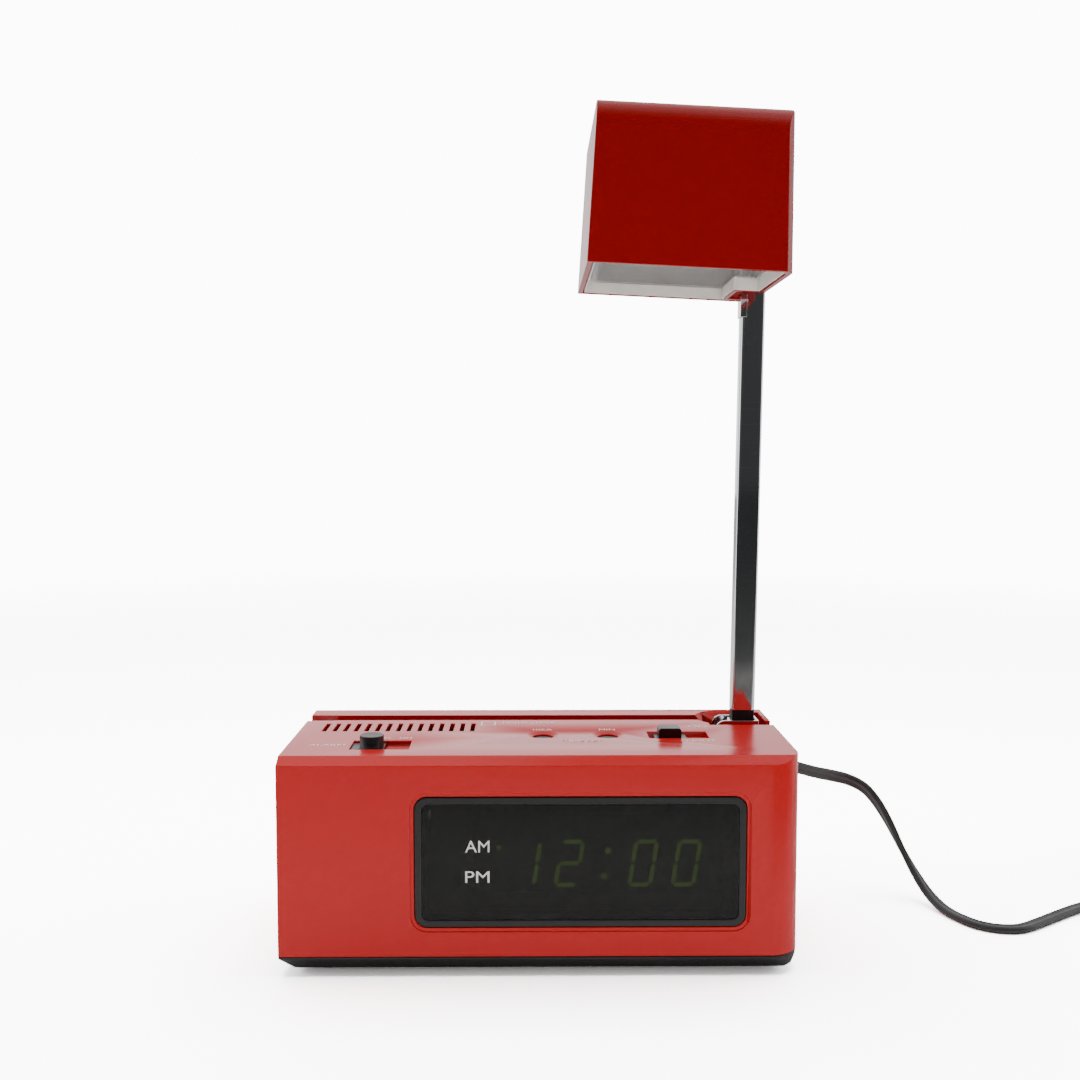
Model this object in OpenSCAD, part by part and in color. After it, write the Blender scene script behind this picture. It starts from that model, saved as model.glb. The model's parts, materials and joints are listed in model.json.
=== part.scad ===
// Digital alarm clock with a fold-up reading lamp.
// Units are millimetres. +Z is up, +X is to the right seen from the front, and the
// front face looks along -Y. The origin is the centre of the clock's footprint on the desk.
// The lamp arm stands at the rear right corner. It folds down to the left into a channel
// in the top, and the lamp head then closes against the left end of the case.

/* [Case] */
// Width of the clock case
body_w = 177; // [150:1:212]
// Depth of the clock case and of the lamp head
body_d = 78; // [74:1:96]
// Height of the top surface above the desk
top_z = 75; // [70:1:92]
// Height of the seam between the base tray and the red case
seam_z = 7; // [6:0.5:9]
// Wall thickness of the red case
wall = 2.4; // [2:0.1:3]
// Radius of the upright edge at the front right
corner_r = 10; // [6:0.5:14]
// Height of the bevel along the front top edge
bevel_h = 2.5; // [1.5:0.1:4]
// Depth of the bevel along the front top edge
bevel_d = 4.5; // [3:0.1:7]

/* [Display] */
// Width of the display window
window_w = 112.2; // [94:0.2:118]
// Height of the display window
window_h = 45; // [38:0.5:48]
// Width of the bezel frame around the lens
bezel_rim = 2.4; // [1.6:0.1:4]
// Height of the glass display tube
tube_h = 24; // [20:0.5:28]

/* [Lamp arm] */
// Width of the arm's box section seen from the front
arm_w = 9; // [7.5:0.1:10.5]
// Depth of the arm's box section
arm_t = 7.4; // [6.2:0.1:8.4]
// Metal thickness of the arm
arm_wall = 0.8; // [0.6:0.1:1.2]
// Diameter of the two hinge pins
pin_d = 3.2; // [2.6:0.1:3.4]
// Lean of the arm to the right as it stands, in degrees
arm_lean = 0.8; // [0:0.1:1.5]

/* [Lamp head] */
// Width of the lamp head
shade_w = 68; // [57:1:70]
// Height of the lamp head
shade_h = 54; // [44:1:64]
// Wall thickness of the lamp head
shade_wall = 2; // [1.6:0.1:2.6]
// Extra lean of the head past the arm, in degrees
head_lean = 2; // [0:0.1:2.5]
// Diameter of the lamp bulb
bulb_d = 22; // [18:0.5:24]

/* [Controls] */
// Diameter of the round alarm knob
alarm_knob_d = 8.4; // [7:0.1:10]
// Width of the square light knob
light_knob_w = 8.2; // [7:0.1:10]
// Diameter of the finger dips round the time buttons
dip_d = 11.8; // [10:0.1:13]
// Diameter of the time buttons
button_d = 7; // [5.8:0.1:8]
// Travel of the time buttons
button_travel = 0.6; // [0.3:0.1:0.8]

/* [Mains lead] */
// Width of the flat mains lead
cord_w = 5.2; // [4.4:0.1:6]
// Thickness of the flat mains lead
cord_t = 2.6; // [2.2:0.1:3]
// Middle diameter of the stored coil
coil_d = 58; // [52:1:64]

/* [Hidden] */
$fn = 48;

fit = 0.2;              // gap round a piece that sits in an opening
running = 0.05;         // radial gap round a turning pin
eps = 0.01;

front_y = -body_d / 2;
rear_y = body_d / 2;
left_x = -body_w / 2;
right_x = body_w / 2;

// --- heights inside the case
foot_out = 1;           // how far the feet stand below the tray
foot_r = 6;
foot_h = 2;
tray_floor = 2;
tray_bevel = 4.5;       // how far the tray's underside draws in
tray_lip = 3;           // upstand of the tray inside the case
board_t = 1.6;
inner_top = top_z - wall;

// --- lamp arm hinge
arm_y = rear_y - 14.5;              // middle of the arm and its channel
channel_w = arm_t + 0.8;
sink = 2.8;                         // folded arm's top below the case top
pivot_z = top_z - sink - arm_w / 2;
pivot_x = right_x - 10;
fold_gap = 1.1;                     // gap between the folded head and the case
channel_floor = pivot_z - arm_w / 2 - 0.6;
head_pin_rise = 6;                  // head pin above the head's rim
rim_reach = pivot_x - left_x + fold_gap;          // pivot to the head's rim
head_reach = rim_reach + head_pin_rise;           // pivot to the head pin
eye_r = 4.2;
head_eye_r = 3.8;
arm_in = head_pin_rise - head_eye_r - 0.4;        // arm's end above the head's rim
wire_gap = 2.7;                     // the lead's two wires, each side of the middle
foot_w = arm_w - 0.6;
foot_t = arm_t - 0.6;
foot_top = top_z + 3.5 - pivot_z;   // the black foot shows above the case
washer_t = 0.9;
sheet_t = 1.2;                      // hinge bracket metal
cheek_in = foot_t / 2 + washer_t + 0.1;
plate_in = foot_w / 2 + 0.7;        // bracket's end plate, from the pin
guard_r = 8.2;
guard_t = 0.7;
pocket_floor = pivot_z - guard_r - sheet_t - 0.8;
pocket_front = arm_y - 13.1;
pocket_rear = arm_y + 9;
pocket_left = pivot_x - 14;
pocket_right = right_x - 1.9;
scoop_r = 16;
scoop_up = 9;
scoop_x = pivot_x - 4.8;
clip_t = 0.5;
clip_l = 13;
clip_y = arm_t / 2 + clip_t;

// --- lamp head
side_out = 2.6;                     // right wall's outer face past the arm's centre
draft = [0.8, 2.7];                 // left and right sides draw in towards the closed end, degrees
notch_left = 7.7;
notch_low = 3.8;                    // height of the notch's wide lower part
notch_top = head_pin_rise + head_eye_r + 1.8;
notch_front = pocket_front;
notch_rear = pocket_rear - 1;
notch_wall = 1.4;
knuckle_w = foot_w;
knuckle_t = 4.6;
knuckle_in = 8;
lug_in = knuckle_t / 2 + washer_t + 0.1;          // the head bracket's cheeks, inside and outside
lug_out = lug_in + sheet_t;

// --- window, in the front wall
window_x = right_x - 18.7 - window_w / 2;
window_z = 39.4 * top_z / 75;
bezel_t = 5.4;
lens_t = 2;
lens_set = 0.8;
lip_w = 1.3;            // shallow step round the window
lip_depth = 0.5;

// --- controls
alarm_x = left_x + 22.6;            // left end of the alarm recess
alarm_y = front_y + 19.7;
alarm_slot = [20.6, 13];
alarm_plate = [11.4, 12.4];
alarm_travel = 8.4;
light_x = right_x - 49;             // left end of the light slot
light_y = pocket_front - 16.2;
light_slot = [21.6, 10.3];
light_plate = [11.6, 9.7];
light_knob_d = 6.5;
light_off = 2.2;                    // plate's gap to the slot's left end at rest
light_travel = [-2, 7.4];
slot_floor = 1.9;                   // recess depth below the top
slot_floor_t = 1.2;
plate_t = 1;
stem = 2.2;
dip_y = light_y + 0.7;
hour_x = left_x + 89.9;
minute_x = hour_x + 23.6;
dip_depth = 1.4;
dip_r = (pow(dip_d / 2, 2) + pow(dip_depth, 2)) / (2 * dip_depth);
vent_count = 15;
vent_pitch = 3.9;
vent_w = 1.6;
vent_l = 12.6;
vent_x = left_x + 9.2;
vent_y = arm_y - 16.4;
switch_z = 60;                      // underside of the switch board
switch_top = switch_z + board_t;
board_screw_at = [[alarm_x - 3.1, alarm_y + 15.3], [alarm_x + 34.9, alarm_y - 3.2],
                  [light_x - 4.5, alarm_y - 3.2], [light_x + 11.5, light_y + 7.8]];

// --- boards and transformer
main_x = [right_x - 118.5, right_x - 32.5];       // left and right edges of the main board
main_y = [front_y + 15, rear_y - 7];              // front and rear edges
main_z = foot_out + tray_floor + 9;
core_x = left_x + 33.5;
core_y = rear_y - 32;

// --- fasteners
post_x = right_x - 10.5;
post_y = rear_y - 11;
post_r = 4;
screw_r = 1.4;
pilot_r = 1.45;
head_r = 2.8;
rear_hatch = [body_w - 25, 44];
rear_hatch_z = 12;
rear_screw_x = rear_hatch[0] / 2 - 5.5;
rear_screw_z = 22;

// --- mains lead
exit_x = 69;
exit_z = 46;
relief_l = 26;
cord_sides = 8;
coil_at = [277, 64];
coil_turns_w = 16;      // three turns side by side
coil_turns_h = 5.6;     // two layers
plug_w = 17;
plug_l = 24;
plug_h = 12;
plug_reach = coil_d / 2 - 2;
blade_gap = 12.7;
blade_t = 1.5;
blade_h = 6.3;
blade_l = 17;           // blade standing out of the plug
blade_root = 6;         // blade held in the plug

// Route of the lead from the strain relief to the coil, on the desk from point 19 on.
cord_route = [[69, 60, 46], [69, 66, 46], [70.5, 72, 45.9], [74.5, 78, 45.6], [80.5, 82.5, 45.1],
              [88, 84.8, 44.5], [96, 84, 43.8], [103.5, 80, 43.2], [110, 73.5, 42.8],
              [116.5, 63.5, 43], [122, 55.5, 43.6], [127.5, 49.5, 43.4], [133, 46, 40.9],
              [137.5, 43.2, 35.7], [141.5, 40.3, 28.5], [145.5, 36.6, 19.5], [149.5, 31.5, 11],
              [153, 25, 4.8], [156, 17, 1.9], [159.5, 8.5, 1.3], [164, 1.6, 1.3], [170.5, -2, 1.3],
              [178.5, -2, 1.3], [187, 3, 1.3], [197, 10, 1.3], [210, 18.5, 1.3],
              [224, 25, 1.3], [242, 29.2, 1.3], [262, 30, 1.3]];

// ---------------------------------------------------------------- shared shapes

// Plan of the case: square corners, and one round corner at the front right.
module plan(inset = 0) {
    r = corner_r - inset;
    x0 = left_x + inset;
    x1 = right_x - inset;
    y0 = front_y + inset;
    y1 = rear_y - inset;
    union() {
        translate([x0, y0]) square([x1 - x0 - r, y1 - y0]);
        translate([x1 - r - eps, y0 + r]) square([r + eps, y1 - y0 - r]);
        translate([x1 - r, y0 + r]) circle(r);
    }
}

// End view of the case in (y, z): upright front with a bevelled top edge.
module end_view(z0, z1, inset = 0) {
    translate([left_x - 1, 0, 0]) rotate([90, 0, 90]) linear_extrude(body_w + 2)
        polygon([[front_y + inset, z0], [rear_y - inset, z0], [rear_y - inset, z1 - inset],
                 [front_y + bevel_d + inset / 2, z1 - inset],
                 [front_y + inset, z1 - bevel_h - inset / 2]]);
}

// A frame or plate with round corners, lying in the X-Z plane and starting at y.
module slab_xz(w, h, r, y, t) {
    translate([0, y + t, 0]) rotate([90, 0, 0]) linear_extrude(t) rounded(w, h, r);
}

module rounded(w, h, r) {
    union() {
        square([w - 2 * r, h], center = true);
        square([w, h - 2 * r], center = true);
        for (sx = [-1, 1], sy = [-1, 1]) translate([sx * (w / 2 - r), sy * (h / 2 - r)]) circle(r);
    }
}

module block(lo, hi) { translate(lo) cube(hi - lo); }

module along_y(r, y0, y1) { translate([0, y1, 0]) rotate([90, 0, 0]) cylinder(h = y1 - y0, r = r); }

// Places a piece that stands on the arm, whose own frame has the fold pin at its origin.
module on_arm() { translate([pivot_x, arm_y, pivot_z]) rotate([0, arm_lean, 0]) children(); }

// Places a piece of the lamp head, whose own frame has the head pin at its origin.
module on_head() { on_arm() translate([0, 0, head_reach]) rotate([0, head_lean, 0]) children(); }

// ---------------------------------------------------------------- case

module upper_case() {
    color("#c8231f") difference() {
        union() {
            difference() {
                intersection() {
                    translate([0, 0, seam_z]) linear_extrude(top_z - seam_z) plan();
                    end_view(seam_z, top_z);
                }
                intersection() {
                    translate([0, 0, seam_z - 1]) linear_extrude(top_z) plan(wall);
                    end_view(seam_z - 1, top_z, wall);
                }
            }
            channel_trough();
            pocket_block();
            for (sx = [-1, 1], sy = [-1, 1]) corner_post(sx * post_x, sy * post_y);
            for (p = board_screw_at) translate([p[0], p[1], switch_top]) cylinder(h = inner_top - switch_top + 0.5, r = 3);
            slot_pad(alarm_x, alarm_y, alarm_slot);
            slot_pad(light_x, light_y, light_slot);
            for (x = [hour_x, minute_x]) translate([x, dip_y, inner_top - 1]) cylinder(h = 1.5, r = dip_d / 2 + 1);
            for (sx = [-1, 1]) rear_lug(sx);
        }
        arm_channel();
        hinge_pocket();
        window_opening();
        rear_opening();
        vents();
        slot_cut(alarm_x, alarm_y, alarm_slot, alarm_travel);
        slot_cut(light_x, light_y, light_slot, light_travel[1] - light_travel[0]);
        for (x = [hour_x, minute_x]) finger_dip(x);
        for (sx = [-1, 1], sy = [-1, 1]) translate([sx * post_x, sy * post_y, seam_z]) cylinder(h = 16, r = pilot_r);
        for (p = board_screw_at) translate([p[0], p[1], switch_top - 1]) cylinder(h = 7, r = 1.05);
        for (sx = [-1, 1]) translate([sx * rear_screw_x, 0, rear_screw_z]) along_y(1.05, rear_y - 13, rear_y);
    }
}

module corner_post(x, y) {
    translate([x, y, seam_z + tray_lip]) cylinder(h = inner_top - seam_z - tray_lip + 0.5, r = post_r);
}

module rear_lug(sx) {
    block([min(sx * (rear_screw_x - 4), sx * (post_x + 1)), post_y - 1, rear_screw_z - 4],
          [max(sx * (rear_screw_x - 4), sx * (post_x + 1)), rear_y - wall - 0.2, rear_screw_z + 4]);
}

// The trough that the folded arm lies in, hanging from the top.
module channel_trough() {
    block([left_x + wall / 2, arm_y - channel_w / 2 - 2, channel_floor - 2.6],
          [pocket_left, arm_y + channel_w / 2 + 2, inner_top + 0.5]);
}

module pocket_block() {
    block([pocket_left - 8, pocket_front - 2, pocket_floor - 2],
          [right_x - wall / 2, rear_y - wall / 2, inner_top + 0.5]);
}

module arm_channel() {
    block([left_x - 1, arm_y - channel_w / 2, channel_floor], [pocket_left + 1, arm_y + channel_w / 2, top_z + 1]);
    // relief for the clip at the folded arm's far end
    block([left_x - 1, arm_y - channel_w / 2 - 0.6, channel_floor - 1],
          [left_x + 10, arm_y + channel_w / 2 + 0.4, top_z + 1]);
}

module hinge_pocket() {
    block([pocket_left, pocket_front, pocket_floor], [pocket_right, pocket_rear, top_z + 1]);
    translate([scoop_x, arm_y, top_z + scoop_up]) sphere(r = scoop_r);
    // the pocket's right wall is cut lower at the front
    block([pocket_right - 1, pocket_front, top_z - 3], [right_x + 1, arm_y - 6.5, top_z + 1]);
}

module window_opening() {
    translate([window_x, 0, window_z]) {
        slab_xz(window_w, window_h, 4.4, front_y - 1, wall + 2);
        slab_xz(window_w + 2 * lip_w, window_h + 2 * lip_w, 4.4 + lip_w, front_y - 1, 1 + lip_depth);
    }
}

module rear_opening() {
    block([-rear_hatch[0] / 2, rear_y - wall - 1, rear_hatch_z],
          [rear_hatch[0] / 2, rear_y + 1, rear_hatch_z + rear_hatch[1]]);
}

module vents() {
    for (i = [0 : vent_count - 1])
        translate([vent_x + i * vent_pitch, vent_y, top_z - wall - 1])
            translate([-vent_w / 2, -vent_l / 2, 0]) cube([vent_w, vent_l, wall + 2]);
}

module slot_pad(x, y, size) {
    block([x - 1.5, y - size[1] / 2 - 1.5, top_z - slot_floor - slot_floor_t],
          [x + size[0] + 1.5, y + size[1] / 2 + 1.5, inner_top + 0.5]);
}

module slot_cut(x, y, size, travel) {
    block([x, y - size[1] / 2, top_z - slot_floor], [x + size[0], y + size[1] / 2, top_z + 1]);
    block([x + 3.5, y - stem / 2 - 0.5, top_z - slot_floor - 3],
          [x + size[0] - 3.5, y + stem / 2 + 0.5, top_z]);
}

module finger_dip(x) {
    translate([x, dip_y, top_z - dip_depth + dip_r]) sphere(r = dip_r, $fn = 96);
    translate([x, dip_y, inner_top - 3]) cylinder(h = 10, r = button_d / 2 + fit);
}

module rear_cover() {
    w = rear_hatch[0] - 2 * fit;
    h = rear_hatch[1] - 2 * fit;
    color("#b9201d") difference() {
        block([-w / 2, rear_y - wall, rear_hatch_z + fit], [w / 2, rear_y, rear_hatch_z + fit + h]);
        translate([exit_x, 0, exit_z]) along_y(3.6, rear_y - wall - 1, rear_y + 1);
        for (sx = [-1, 1]) translate([sx * rear_screw_x, 0, rear_screw_z]) {
            along_y(1.4, rear_y - wall - 1, rear_y + 1);
            along_y(2.6, rear_y - 1.2, rear_y + 1);
        }
        for (i = [0 : 9]) block([-58 + i * 6, rear_y - wall - 1, 28], [-55 + i * 6, rear_y + 1, 46]);
    }
}

// Tray outline in (x, z) or (y, z): the sides draw in towards the underside.
module tray_side(half, len) {
    polygon([[-half, seam_z], [-half, seam_z - 0.6], [-half + tray_bevel, foot_out + 0.6],
             [-half + tray_bevel + 1.2, foot_out], [half - tray_bevel - 1.2, foot_out],
             [half - tray_bevel, foot_out + 0.6], [half, seam_z - 0.6], [half, seam_z]]);
}

module base_tray() {
    color("#1d1d20") difference() {
        union() {
            intersection() {
                linear_extrude(seam_z) plan();
                translate([0, body_d, 0]) rotate([90, 0, 0]) linear_extrude(2 * body_d) tray_side(body_w / 2);
                translate([-body_w, 0, 0]) rotate([90, 0, 90]) linear_extrude(2 * body_w) tray_side(body_d / 2);
            }
            translate([0, 0, seam_z - 1]) linear_extrude(tray_lip + 1) plan(wall + fit);
        }
        translate([0, 0, foot_out + tray_floor]) linear_extrude(20) plan(wall + fit + 2.4 + tray_bevel / 2);
        for (sx = [-1, 1], sy = [-1, 1]) {
            translate([sx * post_x, sy * post_y, 0]) cylinder(h = 20, r = screw_r + 0.2);
            translate([sx * post_x, sy * post_y, 0]) cylinder(h = foot_out + 3, r = head_r + 0.3);
            translate([sx * post_x, sy * post_y, seam_z]) cylinder(h = 20, r = post_r + fit);
        }
        for (p = feet_at()) translate([p[0], p[1], 0]) cylinder(h = foot_h, r = foot_r + 0.05);
    }
    color("#1d1d20") tray_standoffs();
}

module tray_standoffs() {
    for (p = main_board_posts()) translate([p[0], p[1], foot_out + tray_floor]) cylinder(h = 9, r = 2.6);
}

function feet_at() = [for (sx = [-1, 1], sy = [-1, 1]) [sx * (right_x - 25), sy * (rear_y - 16)]];
function main_board_posts() = [for (x = [main_x[0] + 6, main_x[1] - 6], y = [main_y[0] + 6, main_y[1] - 6]) [x, y]];

module rubber_feet() {
    color("#2b2b2b") for (p = feet_at()) translate([p[0], p[1], 0]) cylinder(h = foot_h, r = foot_r);
}

// Cross recess for a screw head, centred on z = 0 and cut to depth on both sides.
module cross_cut(size, depth) {
    for (a = [0, 90]) rotate(a) translate([-size / 2, -size / 8, -depth]) cube([size, size / 4, 2 * depth]);
}

module case_screws() {
    color("silver") for (sx = [-1, 1], sy = [-1, 1]) translate([sx * post_x, sy * post_y, 0]) difference() {
        union() {
            translate([0, 0, foot_out + 0.8]) cylinder(h = 2.2, r = head_r);
            translate([0, 0, foot_out + 2.5]) cylinder(h = 15, r = screw_r);
        }
        translate([0, 0, foot_out + 0.8]) cross_cut(3.4, 1.3);
    }
}

module rear_screws() {
    color("silver") for (sx = [-1, 1]) translate([sx * rear_screw_x, 0, rear_screw_z]) difference() {
        union() {
            along_y(2.4, rear_y - 1.2, rear_y - 0.1);
            along_y(1, rear_y - 10, rear_y - 1);
        }
        translate([0, rear_y - 0.1, 0]) rotate([90, 0, 0]) cross_cut(3, 0.7);
    }
}

// ---------------------------------------------------------------- display

module window_bezel() {
    w = window_w - 2 * fit;
    h = window_h - 2 * fit;
    color("#3a3a3c") translate([window_x, 0, window_z]) difference() {
        union() {
            slab_xz(w, h, 4.2, front_y + 0.3, bezel_t - 0.3);
            slab_xz(w + 5, h + 5, 5, front_y + wall + fit, bezel_t - wall - fit);
        }
        slab_xz(w - 2 * bezel_rim, h - 2 * bezel_rim, 2.4, front_y - 1, lens_set + lens_t + 1 + fit);
        slab_xz(w - 2 * bezel_rim - 4, h - 2 * bezel_rim - 4, 2, front_y - 1, 20);
    }
}

module window_lens() {
    w = window_w - 2 * fit - 2 * bezel_rim - 0.1;
    h = window_h - 2 * fit - 2 * bezel_rim - 0.1;
    color("#0b0c0b") translate([window_x, 0, window_z]) slab_xz(w, h, 2.3, front_y + lens_set, lens_t);
}

module display_tube() {
    color("#26302a") translate([window_x + 6, 0, window_z]) {
        slab_xz(84, tube_h, 2, front_y + bezel_t + 1, 5.6);
        slab_xz(78, tube_h + 3, 1, front_y + bezel_t + 4, 1);
    }
}

module display_board() {
    color("#2c5a35") translate([window_x, 0, window_z - 1])
        slab_xz(98, 40, 1.5, front_y + bezel_t + 6.8, board_t);
}

module main_board() {
    color("#2c5a35") block([main_x[0], main_y[0], main_z], [main_x[1], main_y[1], main_z + board_t]);
}

main_board_top = main_z + board_t;

module clock_chip() {
    color("#18181a") translate([main_x[0] + 30, 0, 0]) {
        block([0, -10, main_board_top + 0.6], [36, 4, main_board_top + 4.4]);
        for (i = [0 : 13], sy = [-1, 1])
            block([1.2 + i * 2.54, -3 + sy * 8 - 0.9, main_board_top], [1.8 + i * 2.54, -3 + sy * 8 + 0.9, main_board_top + 1.8]);
    }
}

module capacitors() {
    color("#33415c") for (p = [[10, 0, 5, 16], [10, 14, 4, 12], [76, 8, 5, 18], [60, 16, 3, 9], [50, 18, 3, 9]])
        translate([main_x[0] + p[0], p[1], main_board_top]) cylinder(h = p[3], r = p[2]);
}

module transformer_core() {
    z = foot_out + tray_floor;
    color("#6d6a66") translate([core_x, core_y, 0]) {
        difference() {
            block([-19, -9, z + 3], [19, 9, z + 35]);
            block([-12, -11, z + 10], [12, 11, z + 28]);
        }
        block([-5, -9, z + 9], [5, 9, z + 29]);
        block([-23, -5, z], [23, 5, z + 3.2]);
    }
}

module transformer_coil() {
    z = foot_out + tray_floor;
    color("#b8762c") translate([core_x, core_y, 0]) difference() {
        block([-11.6, -15.8, z + 10.4], [11.6, 15.8, z + 27.6]);
        block([-5.1, -9.1, z + 8], [5.1, 9.1, z + 30]);
    }
}

module alarm_buzzer() {
    color("#1b1b1b") translate([main_x[0] + 43, 0, foot_out + tray_floor]) difference() {
        cylinder(h = 8, r = 11);
        translate([0, 0, 7]) cylinder(h = 3, r = 1.5);
    }
}

// ---------------------------------------------------------------- controls

module switch_board() {
    color("#8a6a2f") difference() {
        block([alarm_x - 7, alarm_y - 7.7, switch_z], [light_x + light_slot[0] - 4, pocket_front - 4.4, switch_top]);
        for (p = board_screw_at) translate([p[0], p[1], switch_z - 1]) cylinder(h = 4, r = 1.2);
    }
}

module board_screws() {
    color("silver") for (p = board_screw_at) translate([p[0], p[1], switch_z]) {
        translate([0, 0, -1.6]) cylinder(h = 1.6, r = 2.2);
        translate([0, 0, -0.5]) cylinder(h = 7, r = 1);
    }
}

module slide_switch(x, y, w) {
    difference() {
        block([x - w / 2, y - 3.4, switch_top], [x + w / 2, y + 3.4, top_z - slot_floor - slot_floor_t - 2.2]);
        block([x - w / 2 + 1.2, y - stem / 2 - 0.4, switch_top + 2.4], [x + w / 2 - 1.2, y + stem / 2 + 0.4, top_z]);
    }
}

module alarm_switch() {
    color("#b9bcc0") slide_switch(alarm_x + alarm_slot[0] / 2, alarm_y, 16.4);
}

module light_switch() {
    color("#b9bcc0") slide_switch(light_x + light_slot[0] / 2, light_y, 17.4);
}

module key_switches() {
    color("#55585c") for (x = [hour_x, minute_x]) translate([x, dip_y, switch_top]) {
        translate([-3, -3, 0]) cube([6, 6, 3.6]);
        translate([0, 0, 3.5]) cylinder(h = 1, r = 1.7);
    }
}

slider_z = top_z - slot_floor + 0.2;
alarm_stem_x = alarm_x + alarm_slot[0] / 2 - alarm_travel / 2;
light_stem_x = light_x + light_slot[0] / 2 - (light_travel[0] + light_travel[1]) / 2;

module alarm_slider() {
    x0 = alarm_x + 0.2;
    color("#151517") {
        block([x0, alarm_y - alarm_plate[1] / 2, slider_z], [x0 + alarm_plate[0], alarm_y + alarm_plate[1] / 2, slider_z + plate_t]);
        translate([x0 + alarm_plate[0] - 4.4, alarm_y, slider_z + 0.5]) cylinder(h = top_z + 3.6 - slider_z - 0.5, r = alarm_knob_d / 2);
        block([alarm_stem_x - stem / 2, alarm_y - stem / 2, switch_top + 3.2], [alarm_stem_x + stem / 2, alarm_y + stem / 2, slider_z + 0.5]);
    }
}

module light_slider() {
    x0 = light_x + light_off;
    kx = x0 + 1.4;
    color("#151517") {
        block([x0, light_y - light_plate[1] / 2, slider_z], [x0 + light_plate[0], light_y + light_plate[1] / 2, slider_z + plate_t]);
        translate([kx + light_knob_w / 2, light_y, 0]) rotate([90, 0, 0]) translate([0, 0, -light_knob_d / 2])
            linear_extrude(light_knob_d)
                polygon([[-light_knob_w / 2, slider_z + 0.5], [light_knob_w / 2, slider_z + 0.5],
                         [light_knob_w / 2, top_z + 2.3], [light_knob_w / 2 - 0.7, top_z + 3],
                         [-light_knob_w / 2 + 0.7, top_z + 3], [-light_knob_w / 2, top_z + 2.3]]);
        block([light_stem_x - stem / 2, light_y - stem / 2, switch_top + 3.2], [light_stem_x + stem / 2, light_y + stem / 2, slider_z + 0.5]);
    }
}

module time_button(x) {
    tip = switch_top + 4.6 + button_travel + 0.2;
    translate([x, dip_y, 0]) {
        translate([0, 0, inner_top - 2.3]) cylinder(h = dip_depth + wall - 0.8 + 0.2, r = button_d / 2);
        translate([0, 0, inner_top - 2.3]) cylinder(h = 1, r = button_d / 2 + 1);
        translate([0, 0, tip]) cylinder(h = inner_top - 2 - tip, r = 1.5);
    }
}

module hour_button() { color("#77787a") time_button(hour_x); }

module minute_button() { color("#77787a") time_button(minute_x); }

// ---------------------------------------------------------------- arm hinge

module cheek(y0) {
    translate([0, y0 + sheet_t, 0]) rotate([90, 0, 0]) linear_extrude(sheet_t) union() {
        translate([pivot_x - 6.5, pocket_floor + 0.3])
            square([6.5 + plate_in, top_z - 0.2 - pocket_floor - 0.3]);
        translate([pivot_x - 7, top_z - 4.2]) circle(4);
    }
}

module hinge_bracket() {
    color("#d4d7da") difference() {
        union() {
            cheek(arm_y - cheek_in - sheet_t);
            cheek(arm_y + cheek_in);
            block([pivot_x - 6.5, arm_y - cheek_in - sheet_t, pocket_floor + 0.3],
                  [pivot_x + plate_in + 1, arm_y + cheek_in + sheet_t, pocket_floor + 0.3 + 1]);
            block([pivot_x + plate_in, arm_y - cheek_in - sheet_t, pocket_floor + 0.3],
                  [pivot_x + plate_in + 1, arm_y + cheek_in + sheet_t, top_z - 0.2]);
        }
        translate([pivot_x, 0, pivot_z]) along_y(pin_d / 2 + 0.02, arm_y - 10, arm_y + 10);
    }
}

module hinge_pin() {
    reach = cheek_in + sheet_t;
    color("#8f9296") translate([pivot_x, arm_y, pivot_z]) {
        along_y(pin_d / 2, -reach - 0.8, reach + 0.8);
        along_y(pin_d / 2 + 1, -reach - 0.9, -reach - 0.1);
        along_y(pin_d / 2 + 1, reach + 0.1, reach + 0.9);
    }
}

module washers(half) {
    for (s = [-1, 1]) difference() {
        along_y(3.6, s > 0 ? half + 0.05 : -half - 0.05 - washer_t, s > 0 ? half + 0.05 + washer_t : -half - 0.05);
        along_y(pin_d / 2 + 0.1, -20, 20);
    }
}

module hinge_washers() { color("#d8d4c4") translate([pivot_x, arm_y, pivot_z]) washers(foot_t / 2); }

module lamp_arm() {
    color("#dfe2e5") on_arm() translate([0, 0, foot_top]) difference() {
        linear_extrude(rim_reach + arm_in - foot_top) rounded(arm_w, arm_t, 1.6);
        translate([0, 0, -1]) linear_extrude(head_reach) rounded(arm_w - 2 * arm_wall, arm_t - 2 * arm_wall, 0.8);
    }
}

module arm_foot() {
    plug_w = arm_w - 2 * arm_wall - 0.2;
    plug_t = arm_t - 2 * arm_wall - 0.2;
    color("#1a1a1b") on_arm() difference() {
        union() {
            along_y(eye_r, -foot_t / 2, foot_t / 2);
            translate([-foot_w / 2, -foot_t / 2, 0]) cube([foot_w, foot_t, foot_top]);
            translate([0, 0, foot_top - 1]) linear_extrude(10) rounded(plug_w, plug_t, 0.8);
        }
        along_y(pin_d / 2 + running, -10, 10);
        for (s = [-1, 1]) translate([s * wire_gap, 0, -6]) cylinder(h = foot_top + 20, r = 0.8);
    }
}

// Quarter-round metal guard that fills the slot on the arm's left and turns with it.
module arm_guard() {
    t = foot_t - 0.4;
    color("#e3e6e8") on_arm() difference() {
        intersection() {
            along_y(guard_r, -t / 2, t / 2);
            translate([-guard_r - 1, -t, -2.6]) cube([guard_r - foot_w / 2 + 1, 2 * t, 9.2]);
        }
        difference() {
            along_y(guard_r - guard_t, -t, t);
            translate([-foot_w / 2 - 0.6, -t, 4]) cube([2, 2 * t, 6]);
        }
    }
}

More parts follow.
